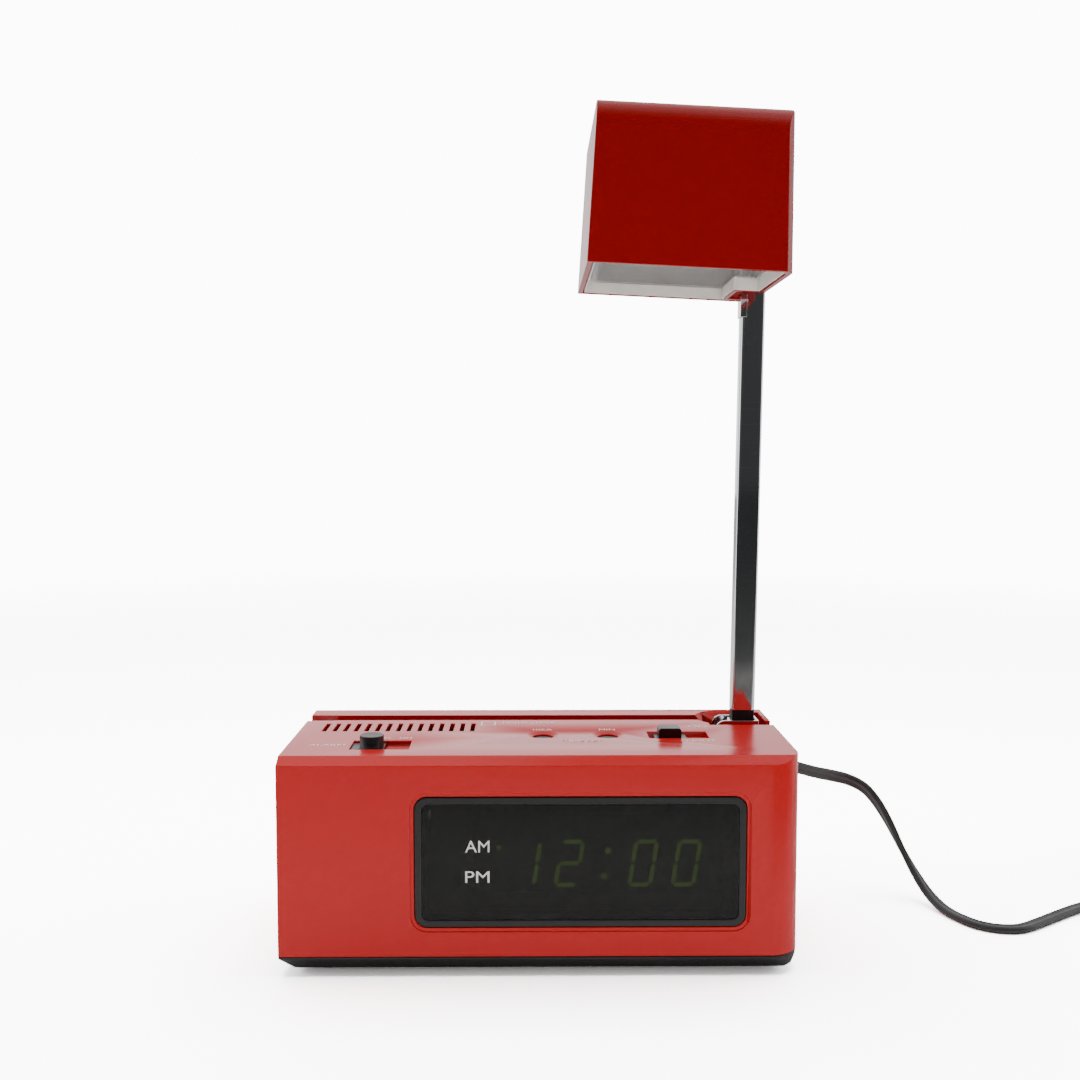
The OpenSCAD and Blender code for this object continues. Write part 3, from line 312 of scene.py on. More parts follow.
finishes = {
    "redGloss": {
        "dark": (0.535, 0.012, 0.013), "light": (0.55, 0.013, 0.014), "mottle": 22, "grain": 260,
        "rough": (0.25, 0.27), "bump": 0.02, "depth": 0.00003,
        "sockets": {"Specular IOR Level": 0.34},
    },
    "headRedPaintedShade": {
        # the lamp head's red, painted darker than the case red as painted shade on the head's front
        "dark": (0.29, 0.0035, 0.003), "light": (0.30, 0.0038, 0.0033), "mottle": 22, "grain": 260,
        "rough": (0.25, 0.27), "bump": 0.02, "depth": 0.00003,
        "sockets": {"Specular IOR Level": 0.34},
    },
    "blackSatin": {
        "dark": (0.014, 0.014, 0.015), "light": (0.024, 0.024, 0.026), "mottle": 60, "grain": 3200,
        "rough": (0.36, 0.5), "bump": 0.3, "speckMark": 0.35, "scratchMark": 0.12,
        "scratchColour": (0.12, 0.12, 0.12),
    },
    "knobBlack": {
        "dark": (0.008, 0.008, 0.008), "light": (0.016, 0.016, 0.017), "mottle": 90, "grain": 4200,
        "rough": (0.30, 0.42), "bump": 0.22, "speckMark": 0.3, "speckColour": (0.4, 0.4, 0.4),
    },
    "greyButton": {
        "dark": (0.11, 0.115, 0.125), "light": (0.16, 0.165, 0.175), "grain": 3800, "rough": (0.4, 0.55),
    },
    "bezelGrey": {
        "dark": (0.012, 0.012, 0.012), "light": (0.019, 0.019, 0.019), "mottle": 70, "grain": 3600,
        "rough": (0.34, 0.46), "bump": 0.3, "speckMark": 0.3,
    },
    "boardGreen": {
        "dark": (0.012, 0.07, 0.03), "light": (0.03, 0.13, 0.05), "mottle": 260, "rough": (0.3, 0.5),
        "speckMark": 0.8, "specks": 420, "speckColour": (0.6, 0.55, 0.4),
    },
    "epoxyBlack": {
        "dark": (0.012, 0.012, 0.013), "light": (0.03, 0.03, 0.03), "grain": 5200, "rough": (0.5, 0.7),
        "bump": 0.4,
    },
    "blueSleeve": {
        "dark": (0.012, 0.026, 0.09), "light": (0.02, 0.04, 0.13), "rough": (0.22, 0.35), "mottle": 120,
    },
    "laminatedSteel": {
        "dark": (0.16, 0.155, 0.15), "light": (0.34, 0.33, 0.31), "metal": 1.0, "rough": (0.35, 0.6),
        "bands": (0, 9000, 0), "bandMark": 0.5,
    },
    "copperWinding": {
        "dark": (0.42, 0.13, 0.04), "light": (0.72, 0.30, 0.10), "metal": 1.0, "rough": (0.25, 0.4),
        "bands": (0, 0, 9000), "bandMark": 0.6,
    },
    "zincSteel": {
        "dark": (0.42, 0.42, 0.43), "light": (0.62, 0.62, 0.63), "metal": 1.0, "rough": (0.22, 0.4),
        "scratchMark": 0.4, "grain": 5000, "mottle": 160,
    },
    "brightChrome": {
        "dark": (0.66, 0.67, 0.69), "light": (0.80, 0.81, 0.83), "metal": 1.0, "rough": (0.045, 0.11),
        "mottle": 45, "bump": 0.02, "scratchMark": 0.45, "scratchColour": (0.95, 0.95, 0.95),
        "scratches": 0.85, "speckMark": 0.25, "speckColour": (0.25, 0.24, 0.22), "specks": 200,
    },
    "footRubber": {
        "dark": (0.016, 0.016, 0.016), "light": (0.03, 0.03, 0.03), "rough": (0.7, 0.9), "bump": 0.6,
        "speckMark": 0.5,
    },
    "cordRubber": {
        "dark": (0.020, 0.021, 0.022), "light": (0.034, 0.035, 0.036), "mottle": 90, "grain": 3000,
        "rough": (0.36, 0.52), "bump": 0.16, "speckMark": 0.15, "speckColour": (0.3, 0.3, 0.3),
    },
    "wireCream": {"dark": (0.66, 0.63, 0.55), "light": (0.76, 0.73, 0.65), "rough": (0.4, 0.5)},
    "nylonWasher": {"dark": (0.62, 0.58, 0.48), "light": (0.72, 0.68, 0.58), "rough": (0.45, 0.6)},
    "whiteEnamel": {
        "dark": (0.74, 0.72, 0.67), "light": (0.84, 0.82, 0.77), "mottle": 60, "rough": (0.25, 0.4),
        "speckMark": 0.35, "speckColour": (0.35, 0.30, 0.24),
    },
    "satinSilver": {
        "dark": (0.62, 0.62, 0.62), "light": (0.76, 0.76, 0.75), "metal": 0.85, "rough": (0.28, 0.42),
        "mottle": 55, "grain": 2600, "bump": 0.18, "scratchMark": 0.2, "speckMark": 0.3,
        "speckColour": (0.36, 0.30, 0.25),
    },
    "socketCream": {"dark": (0.62, 0.57, 0.45), "light": (0.72, 0.67, 0.55), "rough": (0.35, 0.5)},
    "capBrass": {
        "dark": (0.55, 0.38, 0.14), "light": (0.78, 0.58, 0.27), "metal": 1.0, "rough": (0.2, 0.38),
        "scratchMark": 0.3, "mottle": 150,
    },
    "printWhite": {
        "dark": (0.78, 0.78, 0.76), "light": (0.88, 0.88, 0.86), "mottle": 500, "rough": (0.4, 0.5),
    },
    "tubeGlass": {
        "dark": (0.006, 0.009, 0.008), "light": (0.010, 0.014, 0.012), "rough": (0.06, 0.12), "bump": 0.01,
    },
    "frostedGlass": {
        "dark": (0.84, 0.83, 0.80), "light": (0.92, 0.91, 0.88), "rough": (0.32, 0.42), "mottle": 80,
        "sockets": {"Transmission Weight": 0.35},
    },
}

materials = {}


def makeFinish(name, spec):
    look = {**plainFinish, **spec}
    mat = bpy.data.materials.new(name)
    mat.use_nodes = True
    tree = mat.node_tree
    bsdf = tree.nodes["Principled BSDF"]
    bsdf.inputs["Metallic"].default_value = look["metal"]
    for label, value in look["sockets"].items():
        bsdf.inputs[label].default_value = value
    wear = addNode(tree, "ShaderNodeGroup", node_tree=wearGroup)
    wear.inputs["Mottle Scale"].default_value = look["mottle"]
    wear.inputs["Grain Scale"].default_value = look["grain"]
    wear.inputs["Scratch Scale"].default_value = look["scratches"]
    wear.inputs["Speck Scale"].default_value = look["specks"]

    def mixColour(factor, amount, under, over):
        scale = addNode(tree, "ShaderNodeMath", {1: amount}, operation="MULTIPLY")
        mix = addNode(tree, "ShaderNodeMix", data_type="RGBA")
        tree.links.new(factor, scale.inputs[0])
        tree.links.new(scale.outputs[0], mix.inputs["Factor"])
        if isinstance(under, tuple):
            mix.inputs[6].default_value = (*under, 1)
        else:
            tree.links.new(under, mix.inputs[6])
        mix.inputs[7].default_value = (*over, 1)
        return mix.outputs[2]

    colour = mixColour(wear.outputs["Mottle"], 1.0, look["dark"], look["light"])
    height = wear.outputs["Grain"]
    if look["bands"]:
        bands = addNode(tree, "ShaderNodeGroup", node_tree=bandsGroup)
        for axis, count in zip("XYZ", look["bands"]):
            bands.inputs["Across " + axis].default_value = count
        between = tuple(0.3 * c for c in look["dark"])
        colour = mixColour(bands.outputs["Band"], look["bandMark"], colour, between)
        height = bands.outputs["Band"]
    if look["scratchMark"]:
        colour = mixColour(wear.outputs["Scratch"], look["scratchMark"], colour, look["scratchColour"])
    if look["speckMark"]:
        colour = mixColour(wear.outputs["Speck"], look["speckMark"], colour, look["speckColour"])
    rough = addNode(tree, "ShaderNodeMapRange", {"To Min": look["rough"][0], "To Max": look["rough"][1]})
    rough.inputs["From Min"].default_value = 0.3
    rough.inputs["From Max"].default_value = 0.7
    bump = addNode(tree, "ShaderNodeBump", {"Strength": look["bump"], "Distance": look["depth"]})
    tree.links.new(wear.outputs["Mottle"], rough.inputs["Value"])
    tree.links.new(rough.outputs["Result"], bsdf.inputs["Roughness"])
    tree.links.new(colour, bsdf.inputs["Base Color"])
    tree.links.new(height, bump.inputs["Height"])
    tree.links.new(bump.outputs["Normal"], bsdf.inputs["Normal"])
    materials[name] = mat
    return mat


for finishName, finishSpec in finishes.items():
    makeFinish(finishName, finishSpec)


def makeLens():
    spec = dict(finishes["tubeGlass"], dark=(0.018, 0.023, 0.020), light=(0.021, 0.026, 0.023),
                rough=(0.015, 0.035), bump=0.0, speckMark=0.0,
                sockets={"Transmission Weight": 1.0, "IOR": 1.36})
    return makeFinish("tintedLens", spec)


def makeGlow():
    # the lit segments, dim behind the dark lens
    spec = {"dark": (0.05, 0.09, 0.01), "light": (0.08, 0.14, 0.02), "mottle": 700,
            "sockets": {"Emission Color": (0.30, 0.46, 0.02, 1), "Emission Strength": 3}}
    return makeFinish("segmentGreen", spec)


makeLens()
makeGlow()
print("materials made:", len(materials))

nodeLooks = {
    "upper_case": "redGloss", "rear_cover": "redGloss", "base_tray": "blackSatin",
    "rubber_feet": "footRubber", "case_screws": "zincSteel", "rear_screws": "zincSteel",
    "window_bezel": "bezelGrey", "window_lens": "tintedLens", "display_tube": "tubeGlass",
    "display_board": "boardGreen", "main_board": "boardGreen", "clock_chip": "epoxyBlack",
    "capacitors": "blueSleeve", "transformer_core": "laminatedSteel",
    "transformer_coil": "copperWinding", "alarm_buzzer": "epoxyBlack", "switch_board": "boardGreen",
    "board_screws": "zincSteel", "alarm_switch": "zincSteel", "light_switch": "zincSteel",
    "key_switches": "epoxyBlack", "alarm_slider": "knobBlack", "light_slider": "knobBlack",
    "hour_button": "greyButton", "minute_button": "greyButton", "hinge_bracket": "brightChrome",
    "hinge_pin": "zincSteel", "hinge_washers": "nylonWasher", "lamp_arm": "brightChrome",
    "arm_foot": "blackSatin", "arm_guard": "brightChrome", "arm_knuckle": "zincSteel",
    "arm_clip": "brightChrome", "lamp_lead": "wireCream", "head_bracket": "zincSteel",
    "head_pin": "zincSteel", "head_washers": "nylonWasher", "shade_shell": "headRedPaintedShade",
    "shade_reflector": "satinSilver", "socket_bracket": "zincSteel", "lamp_socket": "socketCream",
    "bulb_cap": "capBrass", "bulb_glass": "frostedGlass", "strain_relief": "blackSatin",
    "cord_run": "cordRubber", "cord_coil": "cordRubber", "coil_tie": "blackSatin",
    "plug_body": "blackSatin", "plug_blades": "capBrass",
}

for nodeName, lookName in nodeLooks.items():
    nodes[nodeName].data.materials.clear()
    nodes[nodeName].data.materials.append(materials[lookName])

bodyOf = {n: body for body, members in frame["record"]["behaviour"]["bodies"].items() for n in members}


def finishMesh(bm, name, look, sharp=35):
    mesh = bpy.data.meshes.new(name)
    bm.to_mesh(mesh)
    bm.free()
    mesh.set_sharp_from_angle(angle=math.radians(sharp))
    mesh.materials.append(materials[look])
    piece = bpy.data.objects.new(name, mesh)
    bpy.context.scene.collection.objects.link(piece)
    return piece


def settle(piece, body, replaced=()):
    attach(piece, body)
    if replaced:
        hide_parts(*replaced)
    return piece


def softened(node, width, segments=2, angle=30):
    # a copy of a frame node with its outer edges rounded
    bm = bmesh.new()
    bm.from_mesh(nodes[node].data)
    bmesh.ops.remove_doubles(bm, verts=bm.verts, dist=1e-6)
    bmesh.ops.dissolve_limit(bm, angle_limit=math.radians(0.5), verts=bm.verts, edges=bm.edges)
    outer = bm.edges.layers.float.new("bevel_weight_edge")
    for e in bm.edges:
        # inner corners stay sharp, so nothing grows into a channel
        e[outer] = 1.0 if e.is_manifold and e.calc_face_angle_signed(0) > math.radians(angle) else 0.0
    piece = finishMesh(bm, node + "_soft", nodeLooks[node])
    edge = piece.modifiers.new("edges", "BEVEL")
    edge.width = width * mm
    edge.segments = segments
    edge.limit_method = "WEIGHT"
    edge.use_clamp_overlap = False
    edge.harden_normals = True
    return settle(piece, bodyOf[node], [node])


softEdges = {
    # node: edge radius in mm
    "upper_case": 0.28, "base_tray": 0.4, "window_bezel": 0.35, "shade_shell": 0.3, "alarm_slider": 0.25,
    "light_slider": 0.22, "hour_button": 0.25, "minute_button": 0.25, "lamp_arm": 0.12,
    "hinge_bracket": 0.18, "arm_guard": 0.12, "arm_clip": 0.15, "arm_foot": 0.2, "rubber_feet": 0.35,
    "rear_cover": 0.2, "plug_body": 1.6,
}

softPieces = {nodeName: softened(nodeName, width) for nodeName, width in softEdges.items()}
print("edges softened:", len(softEdges))

# the mains lead: two strands side by side, from the strain relief to its coil and plug
leadSet = {
    "width": 5.2, "thick": 2.6, "length": 1.5, "strandPoints": 9,
    "uprightUntil": 60, "flatFrom": 175,   # it turns from upright to flat between these lengths
    "route": [(69, 60, 46), (69, 66, 46), (70.5, 72, 45.9), (74.5, 78, 45.6), (80.5, 82.5, 45.1),
              (88, 84.8, 44.5), (96, 84, 43.8), (103.5, 80, 43.2), (110, 73.5, 42.8),
              (116.5, 63.5, 43), (122, 55.5, 43.6), (127.5, 49.5, 43.4), (133, 46, 40.9),
              (137.5, 43.2, 35.7), (141.5, 40.3, 28.5), (145.5, 36.6, 19.5), (149.5, 31.5, 11),
              (153, 25, 4.8), (156, 17, 1.9), (159.5, 8.5, 1.3), (164, 1.6, 1.3), (170.5, -2, 1.3),
              (178.5, -2, 1.3), (187, 3, 1.3), (197, 10, 1.3), (210, 18.5, 1.3),
              (224, 25, 1.3), (242, 29.2, 1.3), (262, 30, 1.3)],
    "coilAt": (277, 64), "turns": (34.2, 29.0, 23.8), "layer": 2.65, "turnPoints": 24,
    "stepFrom": 0.72,                      # the part of a turn after which it steps to the next
    "plugAt": (250, 70, 11.7),
}


def catmull(points, count):
    path = []
    for i in range(len(points) - 1):
        four = (points[min(max(k, 0), len(points) - 1)] for k in (i - 1, i, i + 1, i + 2))
        a, b, c, d = (Vector(p) for p in four)
        for k in range(count):
            u = k / count
            path.append(0.5 * (2 * b + (c - a) * u + (2 * a - 5 * b + 4 * c - d) * u ** 2
                               + (3 * b - a - 3 * c + d) * u ** 3))
    path.append(Vector(points[-1]))
    low = leadSet["thick"] / 2
    return [Vector((p.x, p.y, max(p.z, low))) for p in path]


def smoothStep(u):
    u = min(max(u, 0), 1)
    return u * u * (3 - 2 * u)


def coilPath():
    # three turns inwards on the desk, three outwards on top of them, then up to the plug
    cx, cy = leadSet["coilAt"]
    low = leadSet["thick"] / 2
    rows = [(r, low) for r in leadSet["turns"]]
    rows += [(r, low + leadSet["layer"]) for r in leadSet["turns"][::-1]]
    rows.append((leadSet["turns"][1], low + 2 * leadSet["layer"]))
    path = []
    count = leadSet["turnPoints"]
    for i, (radius, z) in enumerate(rows[:-1]):
        nextRadius, nextZ = rows[i + 1]
        for k in range(count):
            move = smoothStep((k / count - leadSet["stepFrom"]) / (1 - leadSet["stepFrom"]))
            angle = math.radians(-90 + 360 * k / count)
            r = radius + (nextRadius - radius) * move
            rise = z + (nextZ - z) * move
            path.append(Vector((cx + r * math.cos(angle), cy + r * math.sin(angle), rise)))
    return path


def leadPath():
    route = catmull(leadSet["route"], 4)
    cx, cy = leadSet["coilAt"]
    px, py, pz = leadSet["plugAt"]
    coil = coilPath()
    top = leadSet["thick"] / 2 + 2 * leadSet["layer"]
    rise = [(cx, cy - 29, top), (cx + 17, cy - 23, top), (cx + 27, cy - 8, top + 0.3),
            (cx + 27.5, cy + 9, top + 0.8), (cx + 18.5, cy + 23, top + 1.6),
            (cx + 2, cy + 29.5, top + 2.6), (cx - 14, cy + 27, top + 3.7),
            (px + 2.6, py + 13, pz - 0.5), (px, py + 4, pz), (px, py, pz)]
    points = route[:-1] + coil + catmull(rise, 5)
    return [p * mm for p in points]


def makeLead():
    path = leadPath()
    half = leadSet["strandPoints"]
    radius = leadSet["thick"] / 2
    section = []
    for sign in (1, -1):
        for k in range(half):
            angle = math.radians(-130 + 260 * k / (half - 1))
            x, z = radius * math.cos(angle), radius * math.sin(angle)
            section.append((sign * (radius + x), sign * z))
    bm = bmesh.new()
    rings = []
    gone = 0.0
    for i, spot in enumerate(path):
        if i:
            gone += (spot - path[i - 1]).length / mm
        ahead = (path[min(i + 1, len(path) - 1)] - path[max(i - 1, 0)]).normalized()
        level = ahead.cross(Vector((0, 0, 1))).normalized()
        up = level.cross(ahead)
        turn = math.radians(90 * (1 - smoothStep((gone - leadSet["uprightUntil"])
                                                 / (leadSet["flatFrom"] - leadSet["uprightUntil"]))))
        wide = level * math.cos(turn) + up * math.sin(turn)
        thin = up * math.cos(turn) - level * math.sin(turn)
        rings.append([bm.verts.new(spot + (wide * a + thin * b) * mm) for a, b in section])
    for first, second in zip(rings, rings[1:]):
        for k in range(len(section)):
            following = (k + 1) % len(section)
            bm.faces.new((first[k], first[following], second[following], second[k]))
    bm.faces.new(rings[0][::-1])
    bm.faces.new(rings[-1])
    bmesh.ops.recalc_face_normals(bm, faces=bm.faces)
    print("lead made, mm long:", round(gone))
    piece = finishMesh(bm, "mains_lead", "cordRubber", 60)
    settle(piece, "case", ["cord_run", "cord_coil"])
    return piece, path


reliefSet = {
    # profile of the strain relief: distance out of the case, radius
    "profile": [(-0.1, 2.3), (-0.1, 5.6), (1.5, 5.7), (2.3, 5.2), (2.4, 4.5)],
    "ribs": 7, "firstRib": 2.9, "pitch": 3.1, "deep": 0.55, "start": 4.55, "taper": 0.21, "end": 26.0,
}


def makeStrainRelief():
    exitAt = leadSet["route"][0]
    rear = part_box("rear_cover")[1].y / mm
    outline = list(reliefSet["profile"])
    for i in range(reliefSet["ribs"]):
        out = reliefSet["firstRib"] + i * reliefSet["pitch"]
        radius = reliefSet["start"] - i * reliefSet["taper"]
        outline += [(out, radius), (out + 1.7, radius - 0.1), (out + 2.0, radius - reliefSet["deep"]),
                    (out + 2.8, radius - reliefSet["deep"] - 0.05)]
    outline += [(reliefSet["end"] - 0.5, 3.1), (reliefSet["end"], 2.8), (reliefSet["end"], 2.3)]
    bm = bmesh.new()
    spots = [bm.verts.new(point(exitAt[0] + r, rear + out, exitAt[2])) for out, r in outline]
    edges = [bm.edges.new(pair) for pair in zip(spots, spots[1:])]
    bmesh.ops.spin(bm, geom=spots + edges, cent=point(exitAt[0], rear, exitAt[2]), axis=(0, 1, 0),
                   angle=math.tau, steps=36, use_merge=True)
    bmesh.ops.recalc_face_normals(bm, faces=bm.faces)
    piece = finishMesh(bm, "strain_relief_boot", "blackSatin", 40)
    shell = piece.modifiers.new("wall", "SOLIDIFY")
    shell.thickness = 0.3 * mm
    shell.offset = -1
    return settle(piece, "case", ["strain_relief"])


boot = makeStrainRelief()
lead, leadLine = makeLead()

# display: slanted segment digits just in front of the tube, and white words on the lens
displaySet = {
    "low": 29.0, "high": 45.5, "wide": 11.2, "stroke": 1.5, "slant": 9, "gap": 0.35, "thick": 0.12,
    "cells": {-10.1: "1", 4.5: "2", 29.7: "0", 44.5: "0"},
    "dots": [(23.2, 41.6, 1.1), (21.9, 32.7, 1.1), (-14.0, 42.8, 0.9)],
    "words": [("AM", -25.2, -17.0, 42.8, 46.8), ("PM", -25.2, -17.0, 32.35, 36.3)],
}
segmentsLit = {"0": "abcdef", "1": "bc", "2": "abged"}


def addBar(bm, start, end, y):
    # a bar with pointed ends from start to end, both (x, z)
    stroke = displaySet["stroke"]
    run = Vector((end[0] - start[0], 0, end[1] - start[1]))
    made = bmesh.ops.create_cube(bm, size=1)
    size = Matrix.Diagonal((run.length - displaySet["gap"], displaySet["thick"], stroke, 1))
    bmesh.ops.transform(bm, matrix=size, verts=made["verts"])
    ends = [e for e in {e for v in made["verts"] for e in v.link_edges}
            if abs(e.verts[0].co.y - e.verts[1].co.y) > displaySet["thick"] / 2]
    cut = bmesh.ops.bevel(bm, geom=ends, offset=stroke * 0.49, affect="EDGES", segments=1,
                          profile=0.5, material=-1)
    verts = list({v for f in cut["faces"] for v in f.verts} | {v for v in made["verts"] if v.is_valid})
    turn = Matrix.Rotation(-math.atan2(run.z, run.x), 4, "Y")
    middle = Vector(((start[0] + end[0]) / 2, y, (start[1] + end[1]) / 2))
    bmesh.ops.transform(bm, matrix=Matrix.Translation(middle) @ turn, verts=verts)


def makeDigits():
    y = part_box("display_tube")[0].y / mm - displaySet["thick"] / 2 - 0.02
    low, high, wide, half = (displaySet[k] for k in ("low", "high", "wide", "stroke"))
    half /= 2
    lean = math.tan(math.radians(displaySet["slant"]))
    inside = wide - (high - low) * lean      # width before the slant
    bm = bmesh.new()
    for left, digit in displaySet["cells"].items():
        x0, x1 = left + half, left + inside - half
        z0, z1, z2 = low + half, (low + high) / 2, high - half
        bars = {"a": ((x0, z2), (x1, z2)), "b": ((x1, z1), (x1, z2)), "c": ((x1, z0), (x1, z1)),
                "d": ((x0, z0), (x1, z0)), "e": ((x0, z0), (x0, z1)), "f": ((x0, z1), (x0, z2)),
                "g": ((x0, z1), (x1, z1))}
        for bar in segmentsLit[digit]:
            addBar(bm, *bars[bar], y)
    slant = Matrix.Identity(4)
    slant[0][2] = lean
    slant[0][3] = -lean * low
    bmesh.ops.transform(bm, matrix=slant, verts=bm.verts)
    for x, z, radius in displaySet["dots"]:
        place = Matrix.Translation((x, y, z)) @ Matrix.Rotation(math.pi / 2, 4, "X")
        bmesh.ops.create_cone(bm, cap_ends=True, segments=20, radius1=radius, radius2=radius,
                              depth=displaySet["thick"], matrix=place)
    bmesh.ops.scale(bm, vec=(mm, mm, mm), verts=bm.verts)
    return settle(finishMesh(bm, "display_digits", "segmentGreen"), "case")


printThick = 0.04     # mm, of the letters


def makeWord(name, words, left, right, low, high, matrix):
    # flat letters fitted to a box, thin enough to read as print
    curve = bpy.data.curves.new(name, "FONT")
    curve.body = words
    curve.extrude = 0.5
    holder = bpy.data.objects.new(name, curve)
    bpy.context.scene.collection.objects.link(holder)
    mesh = bpy.data.meshes.new_from_object(holder.evaluated_get(bpy.context.evaluated_depsgraph_get()))
    bpy.data.objects.remove(holder)
    bpy.data.curves.remove(curve)
    bm = bmesh.new()
    bm.from_mesh(mesh)
    bpy.data.meshes.remove(mesh)
    xs = [v.co.x for v in bm.verts]
    ys = [v.co.y for v in bm.verts]
    wide, tall = max(xs) - min(xs), max(ys) - min(ys)
    fit = Matrix.Diagonal(((right - left) / wide, (high - low) / tall, printThick, 1))
    shift = Matrix.Translation((-min(xs), -min(ys), 0.5))
    place = Matrix.Scale(mm, 4) @ matrix @ Matrix.Translation((left, low, 0))
    bmesh.ops.transform(bm, matrix=place @ fit @ shift, verts=bm.verts)
    bmesh.ops.remove_doubles(bm, verts=bm.verts, dist=1e-7)
    return bm


legendSet = {
    # words: left, right, front and back edge of the letters on the case top
    "ALARM": (-80.8, -68.2, -20.5, -18.2), "OFF   ON": (-58, -45.7, -10.2, -8),
    "HOUR": (-2.2, 4.8, 2.4, 4.7), "MIN": (22.2, 28.0, 2.4, 4.7), "OFF  ON": (45.3, 62.5, 7.3, 9.6),
    "TIME SET": (8.4, 22.4, -14.9, -12.6), "LIGHT": (52.5, 63.0, -14.9, -12.6),
    "DIGITAL CLOCK": (-13.6, 6.1, 14.2, 16.9),
}


def makePrint():
    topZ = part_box("upper_case")[1].z / mm
    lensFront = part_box("window_lens")[0].y / mm
    onTop = Matrix.Translation((0, 0, topZ))
    onLens = Matrix.Translation((0, lensFront, 0)) @ Matrix.Rotation(math.pi / 2, 4, "X")
    jobs = [("legend_" + w.replace(" ", "_").lower(), w, *box, onTop) for w, box in legendSet.items()]
    jobs += [("lens_" + w.lower(), w, *box, onLens) for w, *box in displaySet["words"]]
    for name, words, left, right, low, high, matrix in jobs:
        bm = makeWord(name, words, left, right, low, high, matrix)
        settle(finishMesh(bm, name, "printWhite"), "case")


# small white frame printed beside the words
markSet = {"left": -21.8, "right": -16.3, "front": 10.8, "back": 17.5, "line": 0.45, "thick": 0.04}


def makeMark():
    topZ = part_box("upper_case")[1].z / mm
    wide, deep = markSet["right"] - markSet["left"], markSet["back"] - markSet["front"]
    bm = bmesh.new()
    bmesh.ops.create_grid(bm, x_segments=1, y_segments=1, size=0.5)
    bmesh.ops.scale(bm, vec=(wide, deep, 1), verts=bm.verts)
    middle = ((markSet["left"] + markSet["right"]) / 2, (markSet["front"] + markSet["back"]) / 2,
              topZ + markSet["thick"])
    bmesh.ops.translate(bm, vec=middle, verts=bm.verts)
    inner = bm.faces[:]
    bmesh.ops.inset_region(bm, faces=inner, thickness=markSet["line"], use_boundary=True,
                           use_even_offset=True)
    bmesh.ops.delete(bm, geom=inner, context="FACES")
    bmesh.ops.scale(bm, vec=(mm, mm, mm), verts=bm.verts)
    bmesh.ops.solidify(bm, geom=bm.faces[:], thickness=markSet["thick"] * mm)
    bmesh.ops.recalc_face_normals(bm, faces=bm.faces)
    settle(finishMesh(bm, "top_mark", "printWhite"), "case")


makeDigits()
makePrint()
makeMark()
print("display and print made")

# inside the lamp head: a white lining above the rim, and a silver bowl over it
headSet = {
    "lean": 2.8, "pinRise": 6, "wide": 68, "right": 2.6, "wall": 2, "front": -63.5, "rear": 14.5,
    "liningHigh": 5.2, "lining": 0.45, "liningGap": 0.35, "liningCorner": 2.2,
    "notchLeft": -9.3, "notchFront": -14.7, "notchRear": 9.1, "notchHigh": 5.6,
    "bowlLow": 5.3, "bowlHigh": 40, "bowlGap": 1.5, "bowlDraw": 0.86, "bowlCorner": 6, "bowlWall": 0.5,
    "lip": ((0.55, 0.0), (0.45, 0.35), (0.1, 0.5)),     # each step out and down
    "pocketLeft": -6.1, "pocketDeep": 6.7, "pocketHigh": 13.1, "pocketSkin": 0.35,
}
headPin = Vector(next(j["pos_m"] for j in frame["record"]["behaviour"]["joints"] if j["name"] == "head_tilt"))
onHead = (Matrix.Translation(headPin) @ Matrix.Rotation(math.radians(headSet["lean"]), 4, "Y")
          @ Matrix.Translation((0, 0, -headSet["pinRise"] * mm)) @ Matrix.Scale(mm, 4))


def boxMesh(low, high):
    bm = bmesh.new()
    bmesh.ops.create_cube(bm, size=1)
    bmesh.ops.scale(bm, vec=[b - a for a, b in zip(low, high)], verts=bm.verts)
    bmesh.ops.translate(bm, vec=[(a + b) / 2 for a, b in zip(low, high)], verts=bm.verts)
    return bm


def uprightEdges(bm):
    return [e for e in bm.edges if abs(e.verts[0].co.z - e.verts[1].co.z) > 0.8 * e.calc_length()]


def trimmed(bm, low, high):
    # the mesh with a box taken out of it
    parts = []
    for mesh in (bm, boxMesh(low, high)):
        data = bpy.data.meshes.new("trimming")
        mesh.to_mesh(data)
        mesh.free()
        parts.append(bpy.data.objects.new("trimming", data))
        bpy.context.scene.collection.objects.link(parts[-1])
    cut = parts[0].modifiers.new("cut", "BOOLEAN")
    cut.operation = "DIFFERENCE"
    cut.solver = "EXACT"
    cut.object = parts[1]
    bpy.context.view_layer.update()
    mesh = bpy.data.meshes.new_from_object(parts[0].evaluated_get(bpy.context.evaluated_depsgraph_get()))
    result = bmesh.new()
    result.from_mesh(mesh)
    for part in parts:
        bpy.data.objects.remove(part)
    return result


def headInside(gap):
    left = headSet["right"] - headSet["wide"] + headSet["wall"] + gap
    right = headSet["right"] - headSet["wall"] - gap - 0.2
    return (left, headSet["front"] + headSet["wall"] + gap), (right, headSet["rear"] - headSet["wall"] - gap)


def makeLining():
    (x0, y0), (x1, y1) = headInside(headSet["liningGap"])
    bm = boxMesh((x0, y0, 0.3), (x1, y1, headSet["liningHigh"]))
    flat = [f for f in bm.faces if abs(f.normal.z) > 0.5]
    bmesh.ops.delete(bm, geom=flat, context="FACES_ONLY")
    bmesh.ops.bevel(bm, geom=uprightEdges(bm), offset=headSet["liningCorner"], affect="EDGES", segments=5,
                    profile=0.5, material=-1)
    bmesh.ops.solidify(bm, geom=bm.faces[:], thickness=headSet["lining"])
    bmesh.ops.recalc_face_normals(bm, faces=bm.faces)
    bm = trimmed(bm, (headSet["notchLeft"], headSet["notchFront"], -1),
                 (headSet["right"] + 5, headSet["notchRear"], headSet["notchHigh"]))
    bmesh.ops.transform(bm, matrix=onHead, verts=bm.verts)
    return settle(finishMesh(bm, "shade_lining", "whiteEnamel"), "head")


